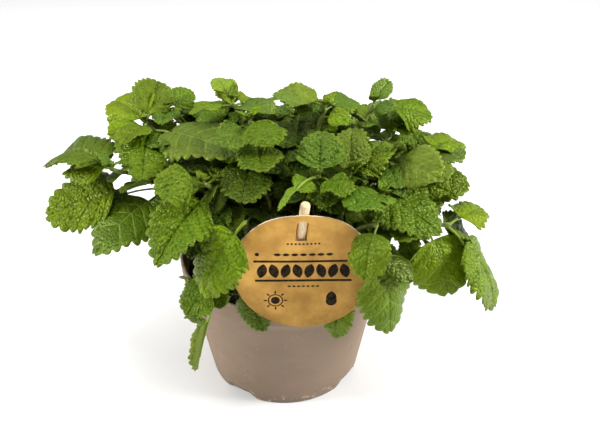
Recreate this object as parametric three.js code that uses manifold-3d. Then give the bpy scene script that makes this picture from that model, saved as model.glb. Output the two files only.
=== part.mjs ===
// Lemon balm growing in its nursery pot, with a round card label held by a wooden stick.
// Millimetres, +Z up. The pot stands on z = 0 and its front faces -Y.
import * as THREE from 'three';
import { mergeVertices } from 'three/addons/utils/BufferGeometryUtils.js';
import Module from 'manifold-3d';

const wasm = await Module();
wasm.setup();

// ---------------------------------------------------------------- driving dimensions

// The pot's axis in the part's frame: the origin is under the middle of plant and pot together.
const POT_AXIS = [8, -3];

const POT = {
  sides: 56,
  height: 87,
  rimRadius: 65,
  bandBottom: 75,
  bodyTopRadius: 61.8,
  footRadius: 49.3,
  footRingWidth: 2,
  wall: 1.2,
  floorUnderside: 5,
  floorTop: 6.4,
};
const NOTCH = { count: 4, firstAngle: -124, width: 23, height: 4.6 };
const DRAIN_HOLE = { count: 4, circleRadius: 34, radius: 4, sides: 16 };
const CUTTER_DEPTH = 10; // deeper than any wall it cuts

const FIT = 0.4; // clearance between pieces that rest against each other
const SEAT = 0.3; // gap between a petiole and the stem that carries it

const SOIL = { flatRadius: 46, top: 77, edgeTop: 74, sides: 40 };

// The stick leans out over the rim and a little to the right; it is placed where it passes the rim.
const STICK = {
  radius: 2.5, sides: 16, bottomZ: 30, topZ: 161, atRim: [5.5, -56.5], leanX: 0.1, leanY: -0.205,
};
const CARD = { centreX: 12, centreZ: 118.3, y: -69.3, radius: 37.2, thickness: 0.8, segments: 28 };
const SLIT = { halfWidth: 6, lowerZ: 137.8, upperZ: 151, height: 0.5 };
// How far the card stands off its own plane where the stick passes: out, in behind it, out.
const CARD_BULGE = { below: 1.6, strip: -6, above: 5, belowHeight: 5, crown: 0.9, crownWidth: 0.45 };

const STEM = { radius: 1.3, sides: 6, steps: 8, lean: 0.25, rise: 0.75, footGap: 0.7 };
const PETIOLE_RADIUS = 0.75;
const BLADE = {
  thickness: 0.9,
  camber: 0.22, // how far the margins curve down, per half width
  widestAt: 0.4,
  fullness: 0.62,
  sections: [0.1, 0.28, 0.5, 0.72, 0.9, 1],
  bluntFrom: 0.985, // the tip is as wide as the outline is here
  sides: 8,
};

// Each plantlet is one root with several stems: its foot on the soil, and where each stem ends.
const PLANTLETS = {
  plantlet_left: {
    foot: [-34, -8],
    stems: { far_left: [-88, -42, 164], upper_left: [-76, -8, 175], rear_left: [-80, 40, 142] },
  },
  plantlet_front_left: {
    foot: [-20, -34],
    stems: { left_front: [-38, -58, 165], front_left: [-17, -74, 152], low_left: [-32, -73, 114] },
  },
  plantlet_centre_left: {
    foot: [-10, -4],
    stems: { top_left: [-27, -8, 188], mid_left: [-16, -30, 186] },
  },
  plantlet_centre_right: {
    foot: [10, -10],
    stems: { top_mid: [24, -14, 187], mid_right: [20, -56, 168], outer_right: [36, -50, 165] },
  },
  plantlet_right: {
    foot: [32, -6],
    stems: { top_right: [52, 6, 181], right: [80, -24, 163], rear_right: [85, 38, 138] },
  },
  plantlet_front_right: {
    foot: [26, -32],
    stems: { low_right: [90, -54, 138], front_right: [49, -70, 148] },
  },
  plantlet_back: {
    foot: [-2, 28],
    stems: { back_left: [-48, 50, 156], back_mid: [4, 60, 158], back_right: [52, 52, 154] },
  },
};

// Each leaf: name, stem, height on the stem (1 is its end), tip, petiole length, blade width,
// how many degrees it bends down along its length, and its turn about its own midrib.
const LEAVES = [
  ['leaf_left_arching', 'far_left', 1, [-133, -8, 151], 6, 28, 90, -10],
  ['leaf_left_small', 'far_left', 0.95, [-118, -22, 153], 8, 24, 35, -20],
  ['leaf_left_broad', 'far_left', 0.78, [-135, -34, 130], 18, 34, 25, -30],
  ['leaf_left_under', 'far_left', 0.64, [-98, -64, 125], 12, 29, 40, -5],
  ['leaf_left_drooping', 'upper_left', 0.95, [-72, -50, 161], 8, 26, 40, 0],
  ['leaf_crown_far_left', 'upper_left', 0.94, [-102, 16, 178], 5, 32, 40, -20],
  ['leaf_crown_left', 'upper_left', 1, [-72, 22, 190], 5, 25, 20, 20],
  ['leaf_broad_centre_left', 'upper_left', 0.92, [-21, -46, 171], 12, 33, 30, 10],
  ['leaf_mid_left', 'left_front', 1, [-62, -64, 163], 5, 25, 40, -25],
  ['leaf_hanging_left', 'left_front', 0.86, [-58, -85, 132], 8, 31, 46, -10],
  ['leaf_by_card_left', 'front_left', 1, [-43, -86, 118], 6, 28, 40, -35],
  ['leaf_over_rim_left', 'low_left', 1, [-49, -84, 101], 6, 22, 40, -20],
  ['leaf_folded_left', 'low_left', 0.93, [-49, -70, 50], 28, 16, 35, -20],
  ['leaf_behind_card_left', 'low_left', 0.84, [-9, -66.8, 76], 12, 16, 20, 85],
  ['leaf_crown_upright', 'top_left', 1, [-34, 9, 196], 4, 18, 20, 0],
  ['leaf_crown_turned', 'top_left', 0.95, [-50, -14, 183], 5, 20, 40, -20],
  ['leaf_crown_centre', 'mid_left', 1, [-12, -8, 190], 5, 21, 35, 0],
  ['leaf_inner_left', 'mid_left', 0.93, [-27, -50, 180], 6, 20, 45, -15],
  ['leaf_inner_curled', 'mid_left', 1, [-3, -52, 182], 5, 22, 60, 10],
  ['leaf_inner_low', 'mid_left', 0.78, [-8, -63, 173], 14, 22, 30, 0],
  ['leaf_inner_dark', 'mid_left', 0.66, [-19, -72, 161], 22, 24, 40, -10],
  ['leaf_crown_mid', 'top_mid', 1, [-5, -3, 192], 5, 20, 40, -10],
  ['leaf_crown_mid_right', 'top_mid', 0.96, [41, 6, 185], 5, 22, 35, 10],
  ['leaf_front_upright', 'mid_right', 1, [21, -38, 184], 2, 25, 20, 0],
  ['leaf_front_small', 'mid_right', 0.94, [34, -68, 163], 5, 20, 45, 0],
  ['leaf_right_upright', 'outer_right', 1, [37, -26, 180], 2, 20, 20, 0],
  ['leaf_right_puckered', 'outer_right', 0.88, [60, -36, 173], 6, 22, 40, 10],
  ['leaf_right_mid', 'outer_right', 0.82, [81, -68, 139], 22, 28, 40, 15],
  ['leaf_crown_right', 'top_right', 1, [62, 18, 190], 5, 18, 20, 0],
  ['leaf_crown_far_right', 'top_right', 0.93, [87, 13, 170], 10, 26, 40, 15],
  ['leaf_far_right_high', 'right', 1, [102, 8, 162], 6, 24, 45, 10],
  ['leaf_right_broad', 'right', 0.84, [86, -44, 158], 5, 30, 60, 0],
  ['leaf_far_right', 'right', 0.7, [105, -24, 142], 14, 28, 35, 15],
  ['leaf_low_right_out', 'low_right', 0.99, [118, -25, 128], 8, 24, 45, 15],
  ['leaf_hanging_right', 'low_right', 0.86, [90, -67, 101], 6, 34, 50, 0],
  ['leaf_hanging_far_right', 'low_right', 0.97, [113, -62, 87], 12, 25, 45, 10],
  ['leaf_by_card_right', 'front_right', 1, [42, -87, 126], 4, 22, 45, 10],
  ['leaf_over_rim_right', 'front_right', 0.88, [58, -84, 90], 20, 28, 40, 0],
  ['leaf_behind_card_right', 'front_right', 0.6, [30, -67.5, 71], 32, 17, 30, 0],
  ['leaf_rear_left_out', 'rear_left', 1, [-118, 58, 126], 8, 28, 45, 0],
  ['leaf_rear_left_low', 'rear_left', 0.9, [-92, 80, 118], 10, 28, 40, 0],
  ['leaf_back_left_out', 'back_left', 1, [-74, 84, 140], 6, 28, 45, 0],
  ['leaf_back_left_in', 'back_left', 0.9, [-38, 90, 138], 8, 26, 40, 0],
  ['leaf_back_mid_left', 'back_mid', 1, [-12, 94, 144], 6, 26, 45, 0],
  ['leaf_back_mid_right', 'back_mid', 0.87, [24, 95, 134], 8, 28, 45, 0],
  ['leaf_back_right_in', 'back_right', 0.9, [50, 88, 130], 8, 28, 40, 0],
  ['leaf_back_right_out', 'back_right', 1, [84, 78, 140], 6, 26, 45, 0],
  ['leaf_rear_right_high', 'rear_right', 1, [116, 52, 126], 8, 26, 45, 0],
  ['leaf_rear_right_low', 'rear_right', 0.88, [104, 74, 106], 10, 28, 40, 0],
];

// ---------------------------------------------------------------- materials

const finish = (color, roughness) => new THREE.MeshStandardMaterial({ color, roughness, metalness: 0 });
const MATERIALS = {
  plastic: finish(0x9a8a78, 0.75),
  soil: finish(0x1d1712, 1),
  card: finish(0xc79a58, 0.85),
  beech: finish(0xe6cfa4, 0.7),
  stem: finish(0x6f9440, 0.6),
  leaf: finish(0x4f8428, 0.5),
};

// ---------------------------------------------------------------- solids and meshes

const radians = THREE.MathUtils.degToRad;

function welded(geometry) {
  const bare = geometry.clone();
  bare.deleteAttribute('normal');
  bare.deleteAttribute('uv');
  return mergeVertices(bare, 1e-4);
}

function solid(geometry) {
  const shape = welded(geometry);
  return new wasm.Manifold(new wasm.Mesh({
    numProp: 3,
    vertProperties: new Float32Array(shape.getAttribute('position').array),
    triVerts: new Uint32Array(shape.getIndex().array),
  }));
}

function fromSolid(body) {
  const mesh = body.getMesh();
  const geometry = new THREE.BufferGeometry();
  geometry.setAttribute('position', new THREE.BufferAttribute(mesh.vertProperties, 3));
  geometry.setIndex(new THREE.BufferAttribute(mesh.triVerts, 1));
  return geometry;
}

function piece(name, geometry, material) {
  const mesh = new THREE.Mesh(geometry, material);
  mesh.name = name;
  return mesh;
}

const lathe = (outline, sides) =>
  new THREE.LatheGeometry(outline.map(([r, z]) => new THREE.Vector2(r, z)), sides).rotateX(Math.PI / 2);

// ---------------------------------------------------------------- pot and soil

const wallRadius = (z) =>
  POT.footRadius + ((POT.bodyTopRadius - POT.footRadius) * z) / POT.bandBottom;

function potBody() {
  const ringInside = POT.footRadius - POT.footRingWidth;
  const outline = [
    [0, POT.floorUnderside],
    [ringInside - 1, POT.floorUnderside],
    [ringInside, POT.floorUnderside - 1],
    [ringInside, 0],
    [POT.footRadius, 0],
    [POT.bodyTopRadius, POT.bandBottom],
    [POT.rimRadius - 1, POT.bandBottom + 0.5],
    [POT.rimRadius, POT.height - 0.6],
    [POT.rimRadius - 0.5, POT.height],
    [POT.rimRadius - 1.8, POT.height],
    [POT.rimRadius - 2.4, POT.bandBottom + 2],
    [wallRadius(POT.bandBottom) - POT.wall, POT.bandBottom],
    [wallRadius(POT.floorTop) - POT.wall, POT.floorTop],
    [0, POT.floorTop],
  ];
  return lathe(outline, POT.sides);
}

// An arch, flat at the top, cut through the foot ring from inside to outside.
function notchCutter(angle) {
  const half = NOTCH.width / 2;
  const arch = new THREE.Shape();
  arch.moveTo(-half, -1);
  arch.lineTo(half, -1);
  arch.lineTo(half - NOTCH.height, NOTCH.height);
  arch.lineTo(-half + NOTCH.height, NOTCH.height);
  return new THREE.ExtrudeGeometry(arch, { depth: CUTTER_DEPTH, bevelEnabled: false })
    .rotateX(Math.PI / 2)
    .rotateZ(Math.PI / 2)
    .translate(POT.footRadius - CUTTER_DEPTH / 2, 0, 0)
    .rotateZ(radians(angle));
}

function drainHoleCutter(angle) {
  return new THREE.CylinderGeometry(DRAIN_HOLE.radius, DRAIN_HOLE.radius, CUTTER_DEPTH, DRAIN_HOLE.sides)
    .rotateX(Math.PI / 2)
    .translate(DRAIN_HOLE.circleRadius, 0, POT.floorTop)
    .rotateZ(radians(angle));
}

function pot() {
  let body = solid(potBody());
  for (let i = 0; i < NOTCH.count; i += 1) {
    body = body.subtract(solid(notchCutter(NOTCH.firstAngle + (360 / NOTCH.count) * i)));
  }
  for (let i = 0; i < DRAIN_HOLE.count; i += 1) {
    body = body.subtract(solid(drainHoleCutter(NOTCH.firstAngle + (360 / DRAIN_HOLE.count) * i)));
  }
  return piece('pot', fromSolid(body), MATERIALS.plastic);
}

// The middle of the stick at a given height.
function stickAt(z) {
  const above = z - POT.height;
  return new THREE.Vector3(STICK.atRim[0] + STICK.leanX * above, STICK.atRim[1] + STICK.leanY * above, z);
}

// A round bar on the stick's axis.
function rod(radius, bottomZ, topZ) {
  const bottom = stickAt(bottomZ);
  const top = stickAt(topZ);
  const along = top.clone().sub(bottom);
  const turn = new THREE.Quaternion().setFromUnitVectors(
    new THREE.Vector3(0, 1, 0), along.clone().normalize());
  const middle = bottom.clone().add(top).multiplyScalar(0.5);
  return new THREE.CylinderGeometry(radius, radius, along.length(), STICK.sides)
    .applyQuaternion(turn)
    .translate(middle.x, middle.y, middle.z);
}

// The root ball fills the pot to just under its rim band, with a hole for the stick.
function soil() {
  const inside = (z) => wallRadius(z) - POT.wall - FIT;
  const outline = [
    [0, POT.floorTop + FIT],
    [inside(POT.floorTop + FIT), POT.floorTop + FIT],
    [inside(SOIL.edgeTop), SOIL.edgeTop],
    [SOIL.flatRadius, SOIL.top],
    [0, SOIL.top],
  ];
  const hole = rod(STICK.radius + FIT, STICK.bottomZ - FIT, STICK.topZ);
  return piece('soil', fromSolid(solid(lathe(outline, SOIL.sides)).subtract(solid(hole))), MATERIALS.soil);
}

// ---------------------------------------------------------------- label

const stick = () =>
  piece('label_stick', rod(STICK.radius, STICK.bottomZ, STICK.topZ), MATERIALS.beech);

// An outline in x and z, given a thickness half on each side of the card's plane.
function upright(outline, thickness) {
  return solid(new THREE.ExtrudeGeometry(outline, {
    depth: thickness, bevelEnabled: false, curveSegments: CARD.segments,
  })
    .rotateX(Math.PI / 2)
    .translate(0, CARD.y + thickness / 2, 0));
}

function disc() {
  const round = new THREE.Shape();
  round.absarc(CARD.centreX, CARD.centreZ, CARD.radius, 0, 2 * Math.PI);
  return upright(round, CARD.thickness);
}

const slitX = stickAt((SLIT.lowerZ + SLIT.upperZ) / 2).x;

function opening(bottomZ, topZ) {
  const half = SLIT.halfWidth;
  const window = new THREE.Shape([
    new THREE.Vector2(slitX - half, bottomZ),
    new THREE.Vector2(slitX + half, bottomZ),
    new THREE.Vector2(slitX + half, topZ),
    new THREE.Vector2(slitX - half, topZ),
  ]);
  return upright(window, CUTTER_DEPTH);
}

// A strip of the card bowed off its plane, seen from above as an arch over the stick.
function bowedStrip(bow, bottomZ, topZ) {
  const half = SLIT.halfWidth + 1;
  const flank = half * CARD_BULGE.crownWidth;
  const near = new THREE.SplineCurve([
    new THREE.Vector2(-half, 0),
    new THREE.Vector2(-flank, bow * CARD_BULGE.crown),
    new THREE.Vector2(flank, bow * CARD_BULGE.crown),
    new THREE.Vector2(half, 0),
  ]).getPoints(12);
  const far = near.map((p) => new THREE.Vector2(p.x, p.y + CARD.thickness)).reverse();
  const section = new THREE.Shape([...near, ...far]);
  return solid(new THREE.ExtrudeGeometry(section, { depth: topZ - bottomZ, bevelEnabled: false })
    .rotateZ(Math.PI)
    .translate(slitX, CARD.y + CARD.thickness / 2, bottomZ));
}

function card() {
  const { lowerZ, upperZ, height } = SLIT;
  const rimZ = CARD.centreZ + CARD.radius;
  const bottomZ = lowerZ - CARD_BULGE.belowHeight;
  const slit = height / 2;
  const body = disc()
    .subtract(opening(bottomZ, rimZ + 1))
    .add(bowedStrip(CARD_BULGE.below, bottomZ, lowerZ - slit))
    .add(bowedStrip(CARD_BULGE.strip, lowerZ + slit, upperZ - slit))
    .add(bowedStrip(CARD_BULGE.above, upperZ + slit, rimZ - 1));
  return piece('label_card', fromSolid(body), MATERIALS.card);
}

// ---------------------------------------------------------------- plant

// A stem rises from its foot and leans out towards its end.
function stemCurve(foot, end) {
  const start = new THREE.Vector3(foot[0], foot[1], SOIL.top + STEM.footGap);
  const tip = new THREE.Vector3(...end);
  const bend = new THREE.Vector3(
    start.x + STEM.lean * (tip.x - start.x),
    start.y + STEM.lean * (tip.y - start.y),
    start.z + STEM.rise * (tip.z - start.z));
  return new THREE.QuadraticBezierCurve3(start, bend, tip);
}

function stemSolid(curve) {
  const section = new THREE.Shape();
  section.absarc(0, 0, STEM.radius, 0, 2 * Math.PI);
  return solid(new THREE.ExtrudeGeometry(section, {
    steps: STEM.steps, curveSegments: STEM.sides, extrudePath: curve, bevelEnabled: false,
  }));
}

function plantlet(name, { foot, stems }) {
  const bodies = Object.values(stems).map((end) => stemSolid(stemCurve(foot, end)));
  return piece(name, fromSolid(bodies.reduce((all, body) => all.add(body))), MATERIALS.stem);
}

const STEM_CURVES = Object.fromEntries(Object.values(PLANTLETS).flatMap(({ foot, stems }) =>
  Object.entries(stems).map(([name, end]) => [name, stemCurve(foot, end)])));

// How steeply a way climbs over the ground.
const slopeOf = (way) => Math.atan2(way.z, Math.hypot(way.x, way.y));

// The blade's width along its length from 0 at its base to 1 at its tip, as a share of its widest.
function bladeProfile(along) {
  const { widestAt, fullness } = BLADE;
  const rise = (along / widestAt) ** (widestAt / (1 - widestAt));
  return (rise * ((1 - along) / (1 - widestAt))) ** fullness;
}

// How far along its own direction a petiole starts from the middle of its stem, so that its end
// clears the stem's flank, or the stem's cut end where it grows on from there.
function standOff(angle, height) {
  const flank = (STEM.radius + SEAT + PETIOLE_RADIUS * Math.abs(Math.cos(angle))) / Math.sin(angle);
  if (height < 1 || Math.cos(angle) <= 0) return flank;
  const beyond = (SEAT + PETIOLE_RADIUS * Math.sin(angle)) / Math.cos(angle);
  return Math.max(Math.min(flank, beyond), 3 * SEAT);
}

// The direction a petiole starts in: towards the tip over the ground, and steeper than the way
// there by half of the leaf's bend.
function startDirection(node, tip, turning) {
  const way = tip.clone().sub(node);
  const slope = slopeOf(way) + turning / 2;
  const out = new THREE.Vector3(way.x, way.y, 0).setLength(Math.cos(slope));
  out.z = Math.sin(slope);
  return out;
}

// The arc that a leaf's midrib follows from beside its stem to its tip.
function midribArc(stem, height, tip, turning) {
  const node = stem.getPoint(height);
  const out = startDirection(node, tip, turning);
  const base = node.addScaledVector(out, standOff(out.angleTo(stem.getTangent(height)), height));
  const chord = tip.clone().sub(base);
  const length = (chord.length() * turning) / 2 / Math.sin(turning / 2);
  return {
    base,
    turning,
    length,
    radius: length / turning,
    startSlope: slopeOf(chord) + turning / 2,
    heading: new THREE.Vector3(chord.x, chord.y, 0).normalize(),
  };
}

// A place on the arc, and the directions across and up from it after the leaf's turn.
function frameOn(arc, share, roll) {
  const slope = arc.startSlope - arc.turning * share;
  const place = arc.base.clone()
    .addScaledVector(arc.heading, arc.radius * (Math.sin(arc.startSlope) - Math.sin(slope)));
  place.z += arc.radius * (Math.cos(slope) - Math.cos(arc.startSlope));
  const side = new THREE.Vector3(-arc.heading.y, arc.heading.x, 0);
  const normal = arc.heading.clone().multiplyScalar(-Math.sin(slope));
  normal.z = Math.cos(slope);
  const across = side.clone().multiplyScalar(Math.cos(roll)).addScaledVector(normal, Math.sin(roll));
  const up = normal.clone().multiplyScalar(Math.cos(roll)).addScaledVector(side, -Math.sin(roll));
  return { place, across, up };
}

// A leaf's section: half its width, half its thickness, and how far its margins curve down.
function leafSection(share, petioleShare, width) {
  if (share <= petioleShare) return { half: PETIOLE_RADIUS, thick: PETIOLE_RADIUS, drop: 0 };
  const along = (share - petioleShare) / (1 - petioleShare);
  const profile = bladeProfile(Math.min(along, BLADE.bluntFrom));
  const half = Math.max(PETIOLE_RADIUS, (width / 2) * profile);
  return { half, thick: BLADE.thickness / 2, drop: BLADE.camber * half };
}

// A leaf is a cylinder flattened into a petiole and a blade along its midrib's arc.
function leaf([name, stemName, height, tip, petiole, width, bend, turn]) {
  const end = new THREE.Vector3(...tip);
  const arc = midribArc(STEM_CURVES[stemName], height, end, radians(bend));
  const petioleShare = petiole / arc.length;
  const blade = BLADE.sections.map((along) => petioleShare + along * (1 - petioleShare));
  const shares = [0, petioleShare / 2, petioleShare, ...blade];
  const frames = shares.map((share) => frameOn(arc, share, radians(turn)));
  const sections = shares.map((share) => leafSection(share, petioleShare, width));

  const last = shares.length - 1;
  const geometry = new THREE.CylinderGeometry(1, 1, last, BLADE.sides, last);
  const position = geometry.getAttribute('position');
  const point = new THREE.Vector3();
  for (let i = 0; i < position.count; i += 1) {
    point.fromBufferAttribute(position, i);
    const ring = Math.round(point.y + last / 2);
    const { place, across, up } = frames[ring];
    const { half, thick, drop } = sections[ring];
    const offset = point.x * half;
    const lift = -point.z * thick - drop * point.x ** 2;
    point.copy(place).addScaledVector(across, offset).addScaledVector(up, lift);
    position.setXYZ(i, point.x, point.y, point.z);
  }
  return piece(name, welded(geometry), MATERIALS.leaf);
}

// ---------------------------------------------------------------- assembly

const group = new THREE.Group();
group.position.set(POT_AXIS[0], POT_AXIS[1], 0);
group.add(pot(), soil(), stick(), card());
for (const [name, description] of Object.entries(PLANTLETS)) group.add(plantlet(name, description));
for (const row of LEAVES) group.add(leaf(row));

export default group;
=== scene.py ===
"""Lemon balm in its nursery pot, with a round card label on a beech stick.

Places and sizes are in millimetres from the pot's axis, +Z up, with the label towards -Y.
A mesh is moved into the part's frame, in metres, when it is made. The floor, the lights and the
camera are given in metres in the part's frame.
"""

import math

import bmesh
import bpy
import numpy as np
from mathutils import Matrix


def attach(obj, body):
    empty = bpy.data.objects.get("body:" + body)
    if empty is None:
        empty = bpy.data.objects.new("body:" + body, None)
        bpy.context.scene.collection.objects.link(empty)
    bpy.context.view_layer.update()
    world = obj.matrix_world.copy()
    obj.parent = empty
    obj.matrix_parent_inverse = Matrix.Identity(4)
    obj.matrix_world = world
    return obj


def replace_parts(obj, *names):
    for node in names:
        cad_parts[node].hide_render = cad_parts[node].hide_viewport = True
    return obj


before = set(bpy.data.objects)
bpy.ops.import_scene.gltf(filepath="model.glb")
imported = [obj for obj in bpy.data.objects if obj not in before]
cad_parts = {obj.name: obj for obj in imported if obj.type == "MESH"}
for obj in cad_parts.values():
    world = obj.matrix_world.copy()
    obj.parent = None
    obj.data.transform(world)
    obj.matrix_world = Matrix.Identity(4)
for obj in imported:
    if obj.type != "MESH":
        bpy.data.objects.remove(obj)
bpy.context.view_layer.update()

MM = 0.001
POT_AXIS = np.array([8.0, -3.0, 0.0])
TAU = 2 * math.pi

# ------------------------------------------------------------------ sizes

POT_HEIGHT = 87.0
POT_BAND_BOTTOM = 75.0
POT_BODY_TOP_RADIUS = 61.8
POT_FOOT_RADIUS = 49.3
POT_SLOPE = (POT_BODY_TOP_RADIUS - POT_FOOT_RADIUS) / POT_BAND_BOTTOM
POT_FOOT_RING = 2.0
POT_WALL = 1.2
POT_UNDERSIDE = 5.0
POT_FLOOR = 6.4
ARCHES = 4
ARCH_FIRST_ANGLE = math.radians(-124)
ARCH_HALF_WIDTH = 11.5
ARCH_HEIGHT = 4.6
DRAIN_CIRCLE = 34.0
DRAIN_RADIUS = 4.0
DRAIN_HEIGHTS = (0.5, 11.0)

SOIL_TOP = 77.0
SOIL_EDGE = 74.0
SOIL_FLAT_RADIUS = 46.0
SOIL_SIDES = 96
CRUMBS = 170
CRUMB_SPREAD = 56.0

STICK_RADIUS = 2.5
STICK_BOTTOM = 30.0
STICK_TOP = 161.0
STICK_AT_RIM = np.array([5.5, -56.5])
STICK_LEAN = np.array([0.1, -0.205])

CARD_CENTRE_X = 12.0
CARD_CENTRE_Z = 118.3
CARD_Y = -69.3
CARD_RADIUS = 37.2
CARD_THICKNESS = 0.6
SLIT_LOWER = 138.6
SLIT_UPPER = 150.4
SLIT_HALF = 2.95
SLIT_ARCH = 1.2
BOW_FORWARD = 3.4
BOW_HALF_WIDTH = 20.0
BOW_BEHIND_STICK = 4.6
DIMPLE_HALF_WIDTH = 8.0
DIMPLE_DEPTH = 0.75
CARD_FULL_ROWS = 34.0
CARD_SIDE_COLUMNS = 21
CARD_SLIT_COLUMNS = 11

STEM_RADIUS = 1.25
STEM_FOOT = SOIL_TOP + 0.7
STEM_CORNERS = 0.10
NODE_SWELL = 0.22
NODE_LENGTH = 0.014
STEM_SURFACE = 1.3
PETIOLE_RADIUS = 0.75
PETIOLE_GAP = 0.3
PETIOLE_LEAST_START = 0.9

# Blades. Teeth and puckers are shares of the blade's length, and a puckering of 1 stands 1 mm high
# on a blade of the usual length.
BLADE_THICKNESS = 0.4
BLADE_USUAL_LENGTH = 36
SIDE_VEINS = 6
VEIN_SHIFT = 0.4
MIDRIB_FURROW = 0.3
TEETH = 10
TOOTH_DEPTH = 0.082
TOOTH_FORWARD = 0.5
TOOTH_OUTWARD = 0.85
PUCKER_STEPS = np.array([0.09, 0.25, 0.42, 0.59, 0.76, 0.93])
PUCKER_RADIUS = 0.072

# Rows and columns of a blade of each kind.
LARGE_GRID = (84, 21)
MIDDLE_GRID = (44, 15)
SMALL_GRID = (21, 7)
YOUNG_GRID = (12, 5)

# The crown: a dome that falls off from its top with the squares of x and y.
CROWN_TOP = 190
CROWN_FALL = (0.0016, 0.0030)
CROWN_HALF = (120, 86)
CROWN_BOTTOM = 88
CROWD_SIGHT = 5
SMALL_LEAF_GAP = 1.5
CROWN_MIDDLE = 8
INNER_STEMS = 34
INNER_SPREAD = (92, 62)
GOLDEN_ANGLE = 2.39996

# Lights on the plant's middle: name, place, width and power in watts.
PLANT_MIDDLE = (0.0, 0.0, 0.12)
LIGHTS = (
    ("main", (-0.15, -0.33, 1.25), 0.4, 5.6),
    ("left", (-1.0, -0.12, 0.65), 0.4, 16.0),
    ("right", (1.0, -0.14, 0.70), 0.5, 23.5),
)
SKY_STRENGTH = 1.5
SKY_ANGLE = 0.9
SKY_TILT = math.radians(-24)
SURROUND_LIGHT = 0.2
SURROUND_SEEN = 0.46
FLOOR_HALF = 6.0

CAMERA_PLACE = (0.0182, -0.3686, 0.3369)
CAMERA_TILT = math.radians(58.25)
CAMERA_LENS = 42.05
CAMERA_SENSOR = 36

# Each plantlet is one root with several stems: its foot on the soil, and where each stem ends.
PLANTLETS = {
    "plantlet_left": ((-34, -8), {
        "far_left": (-88, -42, 164),
        "upper_left": (-76, -8, 175),
        "rear_left": (-80, 40, 142),
    }),
    "plantlet_front_left": ((-20, -34), {
        "left_front": (-38, -58, 165),
        "front_left": (-17, -74, 152),
        "low_left": (-32, -73, 114),
    }),
    "plantlet_centre_left": ((-10, -4), {
        "top_left": (-27, -8, 188),
        "mid_left": (-16, -30, 186),
    }),
    "plantlet_centre_right": ((10, -10), {
        "top_mid": (24, -14, 187),
        "mid_right": (20, -56, 168),
        "outer_right": (36, -50, 165),
    }),
    "plantlet_right": ((32, -6), {
        "top_right": (52, 6, 181),
        "right": (80, -24, 163),
        "rear_right": (85, 38, 138),
    }),
    "plantlet_front_right": ((26, -32), {
        "low_right": (90, -54, 138),
        "front_right": (49, -70, 148),
    }),
    "plantlet_back": ((-2, 28), {
        "back_left": (-48, 50, 156),
        "back_mid": (4, 60, 158),
        "back_right": (52, 52, 154),
    }),
}

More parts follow.
